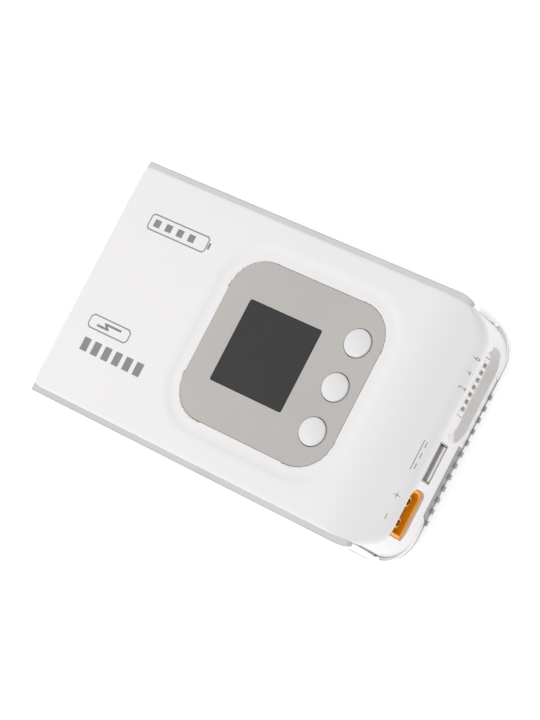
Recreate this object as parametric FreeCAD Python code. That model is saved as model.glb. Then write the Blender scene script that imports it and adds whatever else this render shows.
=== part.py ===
import FreeCAD, Part
import math
import os

# Balance battery charger for model batteries, in millimetres.
# Origin: middle of the overall box, on the surface the feet stand on.
# +X points at the end with the sockets, +Z points up, +Y to the balance socket's side.

V = FreeCAD.Vector
X_AXIS = V(1, 0, 0)
Y_AXIS = V(0, 1, 0)
Z_AXIS = V(0, 0, 1)

# ---- case ---------------------------------------------------------------------------------
body_length = 139.7        # rear wall to socket face
body_width = 86.4          # over the two trim strips
body_height = 26.5         # underside of the shell to the flat top
foot_drop = 1.2            # how far the feet hold the shell off the table
wall = 2.0                 # cover and shell walls
floor = 2.0                # shell floor
top_skin = 2.0             # flat top of the cover
cover_inset = 2.2          # cover edge inside the outer face of the trim
shell_inset = 0.7          # shell side inside the outer face of the trim
rear_corner = 3.0          # plan radius at the rear
front_corner = 11.5        # plan radius beside the sockets
base_round = 1.0           # rounding of the shell's bottom rim
fit_gap = 0.12             # between pieces that are only seated

# ---- nose: the top bends down towards the sockets -------------------------------------------
nose_run = 20.5            # socket face back to the start of the bend
bend_radius = 26.0
nose_angle = 25.0          # slope below horizontal, degrees
brow_radius = 3.0          # slope into the upright socket face

# ---- parting line and trim strips -----------------------------------------------------------
strip_height = 2.8         # along the sides
strip_low_height = 1.6     # round the front corners
strip_below_top = 2.9      # flat top down to the middle of the strip
strip_above_base = 1.8     # shell underside up to the middle of the front run
riser_from_face = 8.5      # socket face back to the upright part of the step
step_radius = 5.0          # both bends of the step, on the middle line
strip_seat = 1.0           # how deep the strip sits in cover and shell
strip_thin = 0.5           # what is left of the strip where it ends on the socket face
strip_end_y = 25.5         # where each strip ends on the socket face
lip_thick = 1.0            # locating lip inside the joint
lip_rise = 0.6             # lip above the parting line

# ---- dish and control panel -----------------------------------------------------------------
dish_depth = 0.7
dish_lip = 2.4             # flat border beside the panel
dish_slope = 3.4           # width of the slope up to the flat top
panel_from_rear = 81.4     # rear wall to the middle of the panel
panel_length = 60.4
panel_width = 56.0
panel_radius = 12.3
panel_thick = 1.5
panel_ledge = 1.5          # ledge that carries the panel
ledge_thick = 1.2
display_size = 28.7        # visible square window
display_radius = 0.6
display_offset = -6.2      # from the panel's middle, towards the rear
window_thick = 1.0
window_sill = 0.8          # opening inside the window's edge, each side

# ---- buttons --------------------------------------------------------------------------------
button_count = 3
button_diameter = 9.3
button_offset = 21.6       # from the panel's middle, towards the sockets
button_pitch = 15.4
button_proud = 1.3         # crown above the panel
button_edge = 0.35         # straight rim above the panel
button_gap = 0.25          # round the cap
button_flange = 0.75       # flange beyond the cap, radially
flange_thick = 0.8
flange_gap = 0.3           # flange under the panel
stem_diameter = 4.0
switch_size = 4.5
switch_height = 1.6
plunger_diameter = 2.2
plunger_gap = 0.06
plunger_rise = 0.75        # plunger above the switch
plunger_depth = 0.9        # plunger inside the switch

# ---- boards ---------------------------------------------------------------------------------
board_thick = 1.6
panel_board_thick = 1.2
panel_board_drop = 5.6     # panel surface down to the control board's top
panel_board_margin = 3.0   # board inside the panel's outline
main_board_length = 60.0
main_board_width = 74.0
main_board_x = 10.0
board_stand = 3.6          # board underside above the floor
input_board_length = 42.0
input_board_width = 23.0
input_board_y = 20.0
port_board_length = 20.0
port_board_width = 62.0
port_board_y = -1.5
port_board_setback = 3.8   # socket face back to the port board
board_screw_inset = 3.6
link_y = 11.0              # pin strip between the control board and the main board
screw_radius = 1.25
screw_head_radius = 2.3
screw_head_height = 1.5
boss_radius = 2.9

# ---- power parts: places from the main board's middle, or from the input board's front ----
transformer_x = 4.0
transformer_y = -6.0
core_length = 25.0
core_width = 20.0
core_height = 9.0
core_lift = 1.2            # core above the board
core_window = 6.2          # width of each of its two windows
core_window_x = 7.0        # middle of a window from the middle of the core
core_shelf = 1.8           # ferrite under and over the windows
winding_gap = 0.2
bobbin_length = 20.0
bobbin_width = 25.0
bobbin_cheek = 1.8
bobbin_cheek_y = 11.6
bobbin_height = 9.6
bobbin_base = 1.1
bulk_can_radius = 5.0
bulk_can_height = 11.0
bulk_can_x = -22.0
bulk_can_ys = (-22.0, -9.5)
output_can_radius = 3.9
output_can_height = 11.5
output_can_x = 25.5
output_can_ys = (4.0, 12.8, 21.6)
sink_web = 1.8
sink_height = 11.5
fin_pitch = 4.0
fin_thick = 1.2
fin_depth = 3.6
primary_sink_x = -1.0
primary_sink_y = 20.0
primary_sink_length = 30.0
output_sink_x = 2.0
output_sink_y = -29.5
output_sink_length = 36.0
package_length = 9.8
package_thick = 2.9
package_height = 9.4
package_lift = 0.8
package_xs = (-8.0, 5.0)
package_gap = 0.05         # package to heat sink
inductor_x = 24.5
inductor_y = -17.0
inductor_outer = 7.2
inductor_inner = 3.0
inductor_height = 8.0
choke_setback = 15.0
choke_outer = 5.4
choke_inner = 3.4
choke_height = 6.0
choke_wire = 1.2
choke_split = 3.0          # free arc between its two windings
capacitor_setback = 25.2
capacitor_length = 6.0
capacitor_width = 13.0
capacitor_height = 11.0
fuse_setback = 5.5
fuse_radius = 2.5
fuse_length = 10.0
rectifier_x = -21.0
rectifier_y = 12.0
rectifier_length = 4.4
rectifier_width = 14.0
rectifier_height = 9.5
chip_size = 9.0
chip_thick = 1.2
chip_x = -6.0              # from the panel's middle
link_length = 15.0
link_width = 2.5
sheet_thick = 0.4
sheet_margin = 8.0         # sheet inside the main board's edge

# ---- sockets on the upright face ------------------------------------------------------------
socket_axis_drop = 11.9    # panel surface down to the middle of output and USB sockets
output_y = -25.0
output_width = 16.0
output_height = 8.1
output_wall = 1.1
output_chamfer = 1.4       # the two corners that key the plug
output_recess = 1.0        # shroud's mouth behind the socket face
output_depth = 15.5
output_back = 3.0
bullet_diameter = 3.5
bullet_pitch = 7.2
bullet_recess = 2.1
bullet_bore = 2.0
bullet_bore_depth = 4.0
bullet_slot = 0.5
usb_y = -7.3
usb_width = 13.1
usb_height = 5.7
usb_wall = 0.3
usb_depth = 14.0
tongue_width = 11.9
tongue_thick = 1.9
tongue_lift = 0.1          # tongue above the sleeve's floor
tongue_recess = 0.2
usb_contact_count = 4
usb_contact_pitch = 2.3
usb_contact_width = 1.1
usb_contact_thick = 0.25
balance_y = 19.3
balance_cells = 7
balance_pitch = 2.5
balance_cell = 1.4
balance_cell_height = 2.6
balance_body_height = 4.2
balance_body_end = 2.45    # body beyond the outer contacts
balance_depth = 9.0
balance_drop = 15.1        # panel surface down to the contacts
balance_pin = 0.64
pocket_y = 16.7            # scooped pocket round the balance socket
pocket_width = 32.5
pocket_height = 7.8        # at its back
pocket_flare = 2.4         # how much wider the mouth is, on each side
pocket_depth = 1.6
pocket_drop = 13.5         # panel surface down to the middle of the pocket's back
pocket_flare_high = 1.3    # the same above
pocket_flare_low = 4.95    # and below
ledge_thick_out = 0.6      # grey ledge, outwards from the pocket's surface
ledge_tilt = 2.5           # ledge ends this far above or below the contacts
ledge_setback = 0.25       # ledge behind the socket face
ledge_fit = 0.05
socket_gap = 0.15

# ---- front vent -----------------------------------------------------------------------------
rib_count = 12
rib_pitch = 3.98
rib_width = 1.7
rib_proud = 0.7
rib_middle_y = -2.4
rib_lift = 0.7             # ribs above the shell's underside
rib_rise = 2.2             # top of the ribs on the tab, above the underside
rib_below_cover = 0.2      # the other ribs end this far below the joint
tab_rise = 2.7             # grey tab standing up into the cover's notch
tab_low_y = -25.0
tab_high_y = 1.2
tab_slant = 2.4

# ---- rear panel, mains inlet, fan, feet -----------------------------------------------------
rear_frame = 3.2           # border left round the rear panel
rear_panel_thick = 1.6
rear_slot_count = 8
rear_slot_width = 2.0
rear_slot_pitch = 4.0
rear_slot_height = 11.0
rear_slots_y = -16.0
inlet_y = 20.0
inlet_body_width = 21.5
inlet_body_height = 12.4
inlet_depth = 17.0
inlet_cavity_width = 16.8
inlet_cavity_height = 8.2
inlet_cavity_depth = 12.0
inlet_waist = 0.7
inlet_pin_pitch = 8.6
inlet_pin_diameter = 2.4
inlet_pin_length = 9.0
fan_x = -41.0
fan_y = -12.0
fan_size = 40.0
fan_thick = 10.0
fan_lift = 0.8             # above the floor
fan_corner = 3.5
fan_bore = 37.6
fan_hole_pitch = 32.0
fan_hole_diameter = 2.6
rotor_gap = 0.7
hub_diameter = 16.4
hub_wall = 1.0
blade_count = 7
blade_thick = 1.0
blade_pitch_angle = 38.0
shaft_diameter = 2.0
shaft_gap = 0.04
bearing_diameter = 5.2
grille_rings = 3
grille_first_radius = 4.5
grille_slot = 2.6
grille_bar = 1.9
grille_spoke = 2.2
foot_diameter = 9.0
foot_seat = 0.6
foot_inset_x = 16.0
foot_inset_y = 11.0
post_x_rear = 8.0          # rear wall to the rear screw posts
post_x_front = 26.0        # socket face back to the front posts
post_inset_y = 8.0         # from the outer face of the trim
post_radius = 3.0
screw_bite = 12.0          # depth of the screw hole in a post

# ---- places that follow from the sizes above ------------------------------------------------
x_rear = -(body_length + rib_proud) / 2
x_face = x_rear + body_length
z_base = foot_drop
z_floor = z_base + floor
z_top = z_base + body_height
z_panel = z_top - dish_depth
half_width = body_width / 2
cover_half = half_width - cover_inset
shell_half = half_width - shell_inset
shell_corner = front_corner + cover_inset - shell_inset
panel_x = x_rear + panel_from_rear
display_x = panel_x + display_offset
button_x = panel_x + button_offset
z_socket = z_panel - socket_axis_drop
z_balance = z_panel - balance_drop
z_pocket = z_panel - pocket_drop
x_header = x_face - pocket_depth
z_tongue = z_socket - usb_height / 2 + usb_wall + tongue_lift + tongue_thick
z_strip_high = z_top - strip_below_top
z_strip_low = z_base + strip_above_base
x_riser = x_face - riser_from_face
z_panel_board = z_panel - panel_board_drop
z_board = z_floor + board_stand + board_thick
z_port_board = z_balance - balance_body_height / 2
z_inlet = z_board + inlet_body_height / 2
port_board_x = x_face - port_board_setback - port_board_length / 2
z_fan = z_floor + fan_lift
FAR = 200.0                # longer than the whole object, for cutting tools


# ---- small shapes ---------------------------------------------------------------------------
def block(x0, x1, y0, y1, z0, z1):
    """Box between two corners."""
    return Part.makeBox(x1 - x0, y1 - y0, z1 - z0, V(x0, y0, z0))


def centred_block(x, y, z0, length, width, height):
    """Box standing on z0, centred on x and y."""
    return Part.makeBox(length, width, height, V(x - length / 2, y - width / 2, z0))


def rod(x, y, z, radius, length, axis=Z_AXIS):
    """Cylinder from a point along an axis."""
    return Part.makeCylinder(radius, length, V(x, y, z), axis)


def ring(x, y, z, outer, inner, height):
    """Upright tube."""
    return rod(x, y, z, outer, height).cut(rod(x, y, z, inner, height))


def outline(x0, x1, half, rear_radius, front_radius, z):
    """Closed plan outline, symmetric about y = 0, with its own radius at each end."""
    k = math.sqrt(0.5)
    corners = [(x0, -half, rear_radius, 1, 1), (x1, -half, front_radius, -1, 1),
               (x1, half, front_radius, -1, -1), (x0, half, rear_radius, 1, -1)]
    arcs = []
    for index, (cx, cy, r, sx, sy) in enumerate(corners):
        along_y = V(cx, cy + sy * r, z)
        along_x = V(cx + sx * r, cy, z)
        middle = V(cx + sx * r * (1 - k), cy + sy * r * (1 - k), z)
        first, last = (along_y, along_x) if index % 2 == 0 else (along_x, along_y)
        arcs.append((first, middle, last))
    edges = []
    for index, (first, middle, last) in enumerate(arcs):
        edges.append(Part.Arc(first, middle, last).toShape())
        edges.append(Part.LineSegment(last, arcs[(index + 1) % 4][0]).toShape())
    return Part.Wire(edges)


def plan_prism(x0, x1, half, rear_radius, front_radius, z0, z1):
    """Upright prism on a plan outline."""
    face = Part.Face(outline(x0, x1, half, rear_radius, front_radius, z0))
    return face.extrude(V(0, 0, z1 - z0))


def rounded_plate(x, y, z0, length, width, radius, height):
    """Plate with equal corner radii, standing on z0."""
    plate = plan_prism(-length / 2, length / 2, width / 2, radius, radius, 0, height)
    plate.translate(V(x, y, z0))
    return plate


def stadium(x, y, z, width, height, depth):
    """Flat-sided stadium on the YZ plane, pushed along +X from x."""
    r = height / 2
    half = width / 2 - r
    low, high = V(x, y - half, z), V(x, y + half, z)
    up = V(0, 0, r)
    wire = Part.Wire([Part.LineSegment(low + up, high + up).toShape(),
                      Part.Arc(high + up, high + V(0, r, 0), high - up).toShape(),
                      Part.LineSegment(high - up, low - up).toShape(),
                      Part.Arc(low - up, low - V(0, r, 0), low + up).toShape()])
    return Part.Face(wire).extrude(V(depth, 0, 0)) if depth else wire


def polygon_prism(points, direction):
    """Prism on a closed polygon."""
    return Part.Face(Part.makePolygon(points + [points[0]])).extrude(direction)


def group(solids):
    """Several separate solids kept as one node."""
    return Part.Compound(solids)


def save(name, shape):
    """Write one node."""
    shape.exportStep("parts/" + name + ".step")


# ---- the case's governing surfaces ----------------------------------------------------------
def nose_profile(inset, z_low):
    """Side profile of the cover, moved inwards by inset: flat top, bend, slope, brow, face."""
    turn = math.radians(nose_angle)
    x_bend = x_face - nose_run
    radius = bend_radius - inset
    centre = V(x_bend, 0, z_top - bend_radius)
    bend_mid = centre + V(radius * math.sin(turn / 2), 0, radius * math.cos(turn / 2))
    bend_end = centre + V(radius * math.sin(turn), 0, radius * math.cos(turn))
    brow = brow_radius - inset if inset < brow_radius else 0.2
    x_front = x_face - inset
    drop = (x_front - bend_end.x) * math.tan(turn)
    corner = V(x_front, 0, bend_end.z - drop)
    setback = brow * math.tan((math.pi / 2 - turn) / 2)
    brow_start = corner - V(math.cos(turn), 0, -math.sin(turn)) * setback
    brow_centre = V(x_front - brow, 0, corner.z - setback)
    lean = (math.pi / 2 + turn) / 2
    brow_mid = brow_centre + V(math.sin(lean), 0, math.cos(lean)) * brow
    brow_end = V(x_front, 0, corner.z - setback)
    rear_low, rear_high = V(x_rear + inset, 0, z_low), V(x_rear + inset, 0, z_top - inset)
    bend_start = V(x_bend, 0, z_top - inset)
    front_low = V(x_front, 0, z_low)
    return Part.Wire([Part.LineSegment(rear_low, rear_high).toShape(),
                      Part.LineSegment(rear_high, bend_start).toShape(),
                      Part.Arc(bend_start, bend_mid, bend_end).toShape(),
                      Part.LineSegment(bend_end, brow_start).toShape(),
                      Part.Arc(brow_start, brow_mid, brow_end).toShape(),
                      Part.LineSegment(brow_end, front_low).toShape(),
                      Part.LineSegment(front_low, rear_low).toShape()])


def cover_envelope(inset, z_low):
    """Everything inside the cover's outer surface, moved inwards by inset."""
    half = cover_half - inset
    sheet = Part.Face(nose_profile(inset, z_low))
    sheet.translate(V(0, -half, 0))
    side = sheet.extrude(V(0, 2 * half, 0))
    plan = plan_prism(x_rear + inset, x_face - inset, half, max(rear_corner - inset, 0.5),
                      front_corner - inset, z_low, z_top)
    return side.common(plan)


def step_region(side, rise):
    """Space over (side 1) or under (side -1) the parting line.

    rise moves the line towards the cover: half the strip's height for the strip's top edge.
    The strip is lower round the front corners, so the front run moves in proportion.
    """
    low_rise = rise * strip_low_height / strip_height
    z_high, z_low = z_strip_high + rise, z_strip_low + low_rise
    x_step = x_riser + rise
    r_top, r_low = step_radius + rise, step_radius - rise
    k = math.sqrt(0.5)
    points = [V(-FAR, 0, z_high), V(x_step - r_top, 0, z_high), V(x_step, 0, z_high - r_top),
              V(x_step, 0, z_low + r_low), V(x_step + r_low, 0, z_low), V(FAR, 0, z_low)]
    top_mid = V(x_step - r_top + r_top * k, 0, z_high - r_top + r_top * k)
    low_mid = V(x_step + r_low - r_low * k, 0, z_low + r_low - r_low * k)
    far_z = side * FAR
    edges = [Part.LineSegment(points[0], points[1]).toShape(),
             Part.Arc(points[1], top_mid, points[2]).toShape(),
             Part.LineSegment(points[2], points[3]).toShape(),
             Part.Arc(points[3], low_mid, points[4]).toShape(),
             Part.LineSegment(points[4], points[5]).toShape(),
             Part.LineSegment(points[5], V(FAR, 0, far_z)).toShape(),
             Part.LineSegment(V(FAR, 0, far_z), V(-FAR, 0, far_z)).toShape(),
             Part.LineSegment(V(-FAR, 0, far_z), points[0]).toShape()]
    sheet = Part.Face(Part.Wire(edges))
    sheet.translate(V(0, -FAR, 0))
    return sheet.extrude(V(0, 2 * FAR, 0))


def wall_ring(outer_inset, inner_inset, z0, z1):
    """Closed ring that follows the cover's plan between two insets."""
    def prism(inset):
        return plan_prism(x_rear + inset, x_face - inset, cover_half - inset,
                          max(rear_corner - inset, 0.5), front_corner - inset, z0, z1)
    return prism(outer_inset).cut(prism(inner_inset))


def trim_band():
    """Both strips in one piece, before they are parted at the socket face."""
    z0, z1 = z_base, z_top
    outer = plan_prism(x_rear, x_face, half_width, rear_corner, front_corner + cover_inset, z0, z1)
    inner = plan_prism(x_rear - FAR, x_face - strip_thin, cover_half - strip_seat,
                       rear_corner, front_corner - strip_thin, z0, z1)
    band = outer.cut(inner)
    rise = strip_height / 2
    band = band.common(step_region(-1, rise)).common(step_region(1, -rise))
    return band.cut(block(x_rear - 1, x_face + 1, -strip_end_y, strip_end_y, z0, z1))


def trim_strip(side):
    """One strip: +1 on the balance socket's side, -1 on the other."""
    half_space = block(-FAR, FAR, 0, side * FAR, 0, FAR) if side > 0 else \
        block(-FAR, FAR, -FAR, 0, 0, FAR)
    return trim_band().common(half_space)


def notch_tab(gap):
    """Grey tab of the shell that fills the notch in the cover, grown by gap."""
    low, high = tab_low_y - gap, tab_high_y + gap
    z0, z1 = z_strip_low - 1.0, z_strip_low + tab_rise + gap
    points = [V(x_face - wall, low, z0), V(x_face - wall, high, z0),
              V(x_face - wall, high, z1), V(x_face - wall, low + tab_slant, z1)]
    return polygon_prism(points, V(wall, 0, 0))


# ---- socket openings ------------------------------------------------------------------------
def output_outline(x, grow, depth):
    """Keyed outline of the output socket: two corners cut off on the +Y end."""
    w, h = output_width / 2 + grow, output_height / 2 + grow
    c = output_chamfer
    points = [V(x, output_y - w, z_socket - h), V(x, output_y + w - c, z_socket - h),
              V(x, output_y + w, z_socket - h + c), V(x, output_y + w, z_socket + h - c),
              V(x, output_y + w - c, z_socket + h), V(x, output_y - w, z_socket + h)]
    return polygon_prism(points, V(depth, 0, 0))


def usb_opening(grow, x0, x1):
    """Rectangular USB outline."""
    return block(x0, x1, usb_y - usb_width / 2 - grow, usb_y + usb_width / 2 + grow,
                 z_socket - usb_height / 2 - grow, z_socket + usb_height / 2 + grow)


def pocket_flared(grow):
    """Flared stadium round the balance socket, open at the face."""
    back = stadium(x_header, pocket_y, z_pocket, pocket_width - 2 * pocket_flare + 2 * grow,
                   pocket_height + 2 * grow, 0)
    mouth = stadium(x_face, pocket_y, z_pocket + (pocket_flare_high - pocket_flare_low) / 2,
                    pocket_width + 2 * grow,
                    pocket_height + pocket_flare_high + pocket_flare_low + 2 * grow, 0)
    return Part.makeLoft([back, mouth], True, True)


def ledge_region(grow):
    """Lower part of the pocket grown outwards, cut off along a slanting line."""
    reach = pocket_width
    slope = 2 * ledge_tilt / pocket_width
    points = [V(x_header - 1, pocket_y - reach, 0), V(x_header - 1, pocket_y + reach, 0),
              V(x_header - 1, pocket_y + reach, z_balance + slope * reach),
              V(x_header - 1, pocket_y - reach, z_balance - slope * reach)]
    below = polygon_prism(points, V(pocket_depth + 1 - ledge_setback, 0, 0))
    return pocket_flared(grow).common(below)


def balance_body_size():
    """Width of the balance header's body."""
    return (balance_cells - 1) * balance_pitch + 2 * balance_body_end


def balance_block(grow, x0, x1):
    """Rectangular outline of the balance header's body."""
    half = balance_body_size() / 2 + grow
    high = balance_body_height / 2 + grow
    return block(x0, x1, balance_y - half, balance_y + half, z_balance - high, z_balance + high)


# ---- case pieces ----------------------------------------------------------------------------
def post_places():
    """The four case screws, seen from above."""
    y = half_width - post_inset_y
    return [(x, side * y) for x in (x_rear + post_x_rear, x_face - post_x_front)
            for side in (-1, 1)]


def foot_places():
    """The four feet."""
    x0, x1 = x_rear + foot_inset_x, x_face - foot_inset_x
    y = half_width - foot_inset_y
    return [(x, side * y) for x in (x0, x1) for side in (-1, 1)]


def top_cover():
    cover = cover_envelope(0, z_base + 0.5).cut(cover_envelope(wall, z_base - 1))
    seat_low = z_panel - panel_thick - ledge_thick
    boss_margin = dish_lip + 1.5
    pad = rounded_plate(panel_x, 0, seat_low, panel_length + 2 * boss_margin,
                        panel_width + 2 * boss_margin, panel_radius + boss_margin,
                        z_top - top_skin - seat_low + 0.5)
    cover = cover.fuse(pad.common(cover_envelope(wall / 2, z_base)))
    lip = dish_lip
    reach = dish_lip + dish_slope
    floor_wire = outline(panel_x - panel_length / 2 - lip, panel_x + panel_length / 2 + lip,
                         panel_width / 2 + lip, panel_radius + lip, panel_radius + lip, z_panel)
    brim_wire = outline(panel_x - panel_length / 2 - reach, panel_x + panel_length / 2 + reach,
                        panel_width / 2 + reach, panel_radius + reach, panel_radius + reach, z_top)
    cover = cover.cut(Part.makeLoft([floor_wire, brim_wire], True, True))
    cover = cover.cut(rounded_plate(panel_x, 0, z_panel - panel_thick, panel_length + 2 * fit_gap,
                                    panel_width + 2 * fit_gap, panel_radius + fit_gap, 5))
    cover = cover.cut(rounded_plate(panel_x, 0, seat_low - 1, panel_length - 2 * panel_ledge,
                                    panel_width - 2 * panel_ledge, panel_radius - panel_ledge, 6))
    cover = cover.cut(step_region(-1, 0.05))
    cover = cover.cut(trim_band())
    for x, y in post_places():
        cover = cover.fuse(rod(x, y, z_floor, post_radius, z_top - top_skin / 2 - z_floor))
        cover = cover.cut(rod(x, y, z_floor - 1, screw_radius, screw_bite))
    cover = cover.cut(notch_tab(fit_gap))
    cover = cover.cut(output_outline(x_face - output_depth - 1, socket_gap, output_depth + 2))
    cover = cover.cut(usb_opening(socket_gap, x_face - wall - 1, x_face + 1))
    cover = cover.cut(pocket_flared(0))
    cover = cover.cut(ledge_region(ledge_thick_out + ledge_fit))
    cover = cover.cut(balance_block(socket_gap, x_face - wall - 1, x_face + 1))
    cover = cover.cut(rear_window(z_base, z_top - top_skin - 1.0))
    return cover.removeSplitter()


def rear_window(z0, z1):
    """Opening in the rear wall that shows the rear panel."""
    y = cover_half - rear_frame
    return block(x_rear - 1, x_rear + wall + 0.01, -y, y, z0, z1)


def bottom_shell():
    shell = plan_prism(x_rear, x_face, shell_half, rear_corner, shell_corner, z_base, z_top)
    rim = [edge for edge in shell.Edges if abs(edge.CenterOfMass.z - z_base) < 0.01]
    shell = shell.makeFillet(base_round, rim)
    shell = shell.cut(plan_prism(x_rear + wall, x_face - wall, shell_half - wall,
                                 rear_corner - wall + 0.5, shell_corner - wall, z_floor, z_top + 1))
    shell = shell.cut(step_region(1, -0.05))
    lip_in = wall + fit_gap
    z_lip = z_floor - 0.5
    lip = wall_ring(lip_in, lip_in + lip_thick, z_lip, z_top)
    lip = lip.common(step_region(-1, lip_rise)).cut(block(x_rear, x_rear + wall + 4, -FAR, FAR, 0, FAR))
    lip = lip.cut(block(x_riser + 1, x_face + 1, -FAR, FAR, 0, FAR))
    gusset_top = z_strip_high - strip_height
    for side in (-1, 1):
        y_out = side * (shell_half - wall / 2)
        y_in = side * (cover_half - lip_in - lip_thick)
        x0, x1 = x_rear + wall + 4, x_riser - step_radius - strip_height
        shell = shell.fuse(block(x0, x1, min(y_out, y_in), max(y_out, y_in),
                                 gusset_top - 2, gusset_top))
    lip = lip.cut(block(-FAR, FAR, -FAR, FAR, 0, gusset_top - 1))
    lip = lip.cut(block(x_riser - step_radius - strip_height, FAR, -FAR, FAR, 0, FAR))
    shell = shell.fuse(lip)
    for x, y in post_places():
        shell = shell.cut(rod(x, y, z_floor, post_radius + fit_gap, z_top))
    shell = shell.fuse(notch_tab(0))
    shell = shell.cut(trim_band())
    first = rib_middle_y - (rib_count - 1) * rib_pitch / 2
    for index in range(rib_count):
        y = first + index * rib_pitch
        inside_tab = tab_low_y + tab_slant < y < tab_high_y - rib_width / 2
        top = z_base + rib_rise if inside_tab else z_strip_low - rib_below_cover
        shell = shell.fuse(block(x_face - 0.5, x_face + rib_proud, y - rib_width / 2,
                                 y + rib_width / 2, z_base + rib_lift, top))
    shell = shell.cut(rear_window(z_floor + 1.0, z_top))
    for x, y, z in board_bosses():
        shell = shell.fuse(ring(x, y, z_floor - 0.5, boss_radius, screw_radius, z - z_floor + 0.5))
    for x, y in fan_posts():
        shell = shell.fuse(ring(x, y, z_floor - 0.5, boss_radius, screw_radius, fan_lift + 0.5))
    for x, y in post_places():
        shell = shell.cut(rod(x, y, z_base - 1, screw_radius + 0.15, floor + 2))
        shell = shell.cut(rod(x, y, z_base - 1, screw_head_radius + 0.2, screw_head_height + 0.8))
        shell = shell.fuse(ring(x, y, z_floor - 0.5, post_radius + 1.2, post_radius + fit_gap, 3.0))
    for x, y in foot_places():
        shell = shell.cut(rod(x, y, z_base - 1, foot_diameter / 2 + 0.05, 1 + foot_seat))
    shell = shell.cut(fan_grille())
    return shell.removeSplitter()


def fan_grille():
    """Ring slots under the fan, broken by four spokes."""
    slots = []
    for index in range(grille_rings):
        inner = grille_first_radius + index * (grille_slot + grille_bar)
        slots.append(ring(fan_x, fan_y, z_base - 1, inner + grille_slot, inner, floor + 2))
    cut = slots[0].multiFuse(slots[1:])
    span = fan_size
    for angle in (45, 135):
        bar = centred_block(0, 0, z_base - 2, span, grille_spoke, floor + 4)
        bar.rotate(V(0, 0, 0), Z_AXIS, angle)
        bar.translate(V(fan_x, fan_y, 0))
        cut = cut.cut(bar)
    return cut


def rear_panel():
    """Upright plate behind the rear frame, with mains opening and air slots."""
    x0 = x_rear + wall + 0.05
    y = cover_half - wall - 1.4
    plate = block(x0, x0 + rear_panel_thick, -y, y, z_floor + 0.05, z_top - top_skin - 0.15)
    half_w, half_h = inlet_body_width / 2 + 0.05, inlet_body_height / 2 + 0.05
    plate = plate.cut(block(x0 - 1, x0 + 5, inlet_y - half_w, inlet_y + half_w,
                            z_inlet - half_h, z_inlet + half_h))
    first = rear_slots_y - (rear_slot_count - 1) * rear_slot_pitch / 2
    z_mid = (z_floor + z_top - top_skin) / 2
    for index in range(rear_slot_count):
        slot = stadium(x0 - 1, 0, 0, rear_slot_height, rear_slot_width, rear_panel_thick + 2)
        slot.rotate(V(x0, 0, 0), X_AXIS, 90)
        slot.translate(V(0, first + index * rear_slot_pitch, z_mid))
        plate = plate.cut(slot)
    return plate


# ---- panel, display and buttons -------------------------------------------------------------
def button_places():
    middle = (button_count - 1) / 2
    return [(button_x, (index - middle) * button_pitch) for index in range(button_count)]


def control_panel():
    z0 = z_panel - panel_thick
    plate = rounded_plate(panel_x, 0, z0, panel_length, panel_width, panel_radius, panel_thick)
    size = display_size + 2 * fit_gap
    plate = plate.cut(rounded_plate(display_x, 0, z_panel - window_thick, size, size,
                                    display_radius + fit_gap, window_thick + 1))
    hole = display_size - 2 * window_sill
    plate = plate.cut(rounded_plate(display_x, 0, z0 - 1, hole, hole, display_radius, 3))
    for x, y in button_places():
        plate = plate.cut(rod(x, y, z0 - 1, button_diameter / 2 + button_gap, panel_thick + 2))
    return plate


def display_window():
    return rounded_plate(display_x, 0, z_panel - window_thick, display_size, display_size,
                         display_radius, window_thick)


def display_module():
    size = display_size - 2 * window_sill - 0.6
    top = z_panel - panel_thick - 0.1
    return centred_block(display_x, 0, top - 1.6, size, size, 1.6)


def display_frame():
    """Moulded tray that holds the display module on the control board."""
    size = display_size + 4.0
    top = z_panel - panel_thick - 0.15
    tray = centred_block(display_x, 0, z_panel_board, size, size, top - z_panel_board)
    room = display_size - 2 * window_sill - 0.4
    tray = tray.cut(centred_block(display_x, 0, top - 1.8, room, room, 3))
    relief = room - 6
    return tray.cut(centred_block(display_x, 0, z_panel_board - 1, relief, relief, 8))


def button_cap(x, y):
    """Domed cap with a retaining flange and a stem that rests on the switch plunger."""
    r = button_diameter / 2
    crown = button_proud - button_edge
    sphere_r = (r * r + crown * crown) / (2 * crown)
    z_rim = z_panel + button_edge
    z_flange = z_panel - panel_thick - flange_gap
    body = rod(x, y, z_flange - flange_thick, r, z_rim + crown - z_flange + flange_thick)
    dome = Part.makeSphere(sphere_r, V(x, y, z_rim + crown - sphere_r))
    below = rod(x, y, z_flange - flange_thick, r, z_rim - z_flange + flange_thick)
    cap = below.fuse(body.common(dome.cut(rod(x, y, z_rim - FAR, FAR, FAR))))
    cap = cap.fuse(rod(x, y, z_flange - flange_thick, r + button_flange, flange_thick))
    z_plunger = z_panel_board + switch_height + plunger_rise
    cap = cap.fuse(rod(x, y, z_plunger, stem_diameter / 2, z_flange - flange_thick / 2 - z_plunger))
    return cap.removeSplitter()


def switch_plunger(x, y):
    z0 = z_panel_board + switch_height - plunger_depth
    return rod(x, y, z0, plunger_diameter / 2, plunger_depth + plunger_rise)


def switch_bodies():
    solids = []
    for x, y in button_places():
        body = centred_block(x, y, z_panel_board, switch_size, switch_size, switch_height)
        bore_low = z_panel_board + switch_height - plunger_depth - 0.35
        solids.append(body.cut(rod(x, y, bore_low, plunger_diameter / 2 + plunger_gap, 3)))
    return group(solids)


# ---- boards ---------------------------------------------------------------------------------
def main_board_holes():
    dx = main_board_length / 2 - board_screw_inset
    dy = main_board_width / 2 - board_screw_inset
    return [(main_board_x + sx * dx, sy * dy) for sx in (-1, 1) for sy in (-1, 1)]


def input_board_span():
    x0 = x_rear + wall + rear_panel_thick + 0.5
    return x0, x0 + input_board_length


def input_board_holes():
    x0, x1 = input_board_span()
    y = input_board_y - input_board_width / 2 + board_screw_inset
    return [(x1 - board_screw_inset, y), (x1 - board_screw_inset, y + input_board_width
                                          - 2 * board_screw_inset)]


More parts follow.
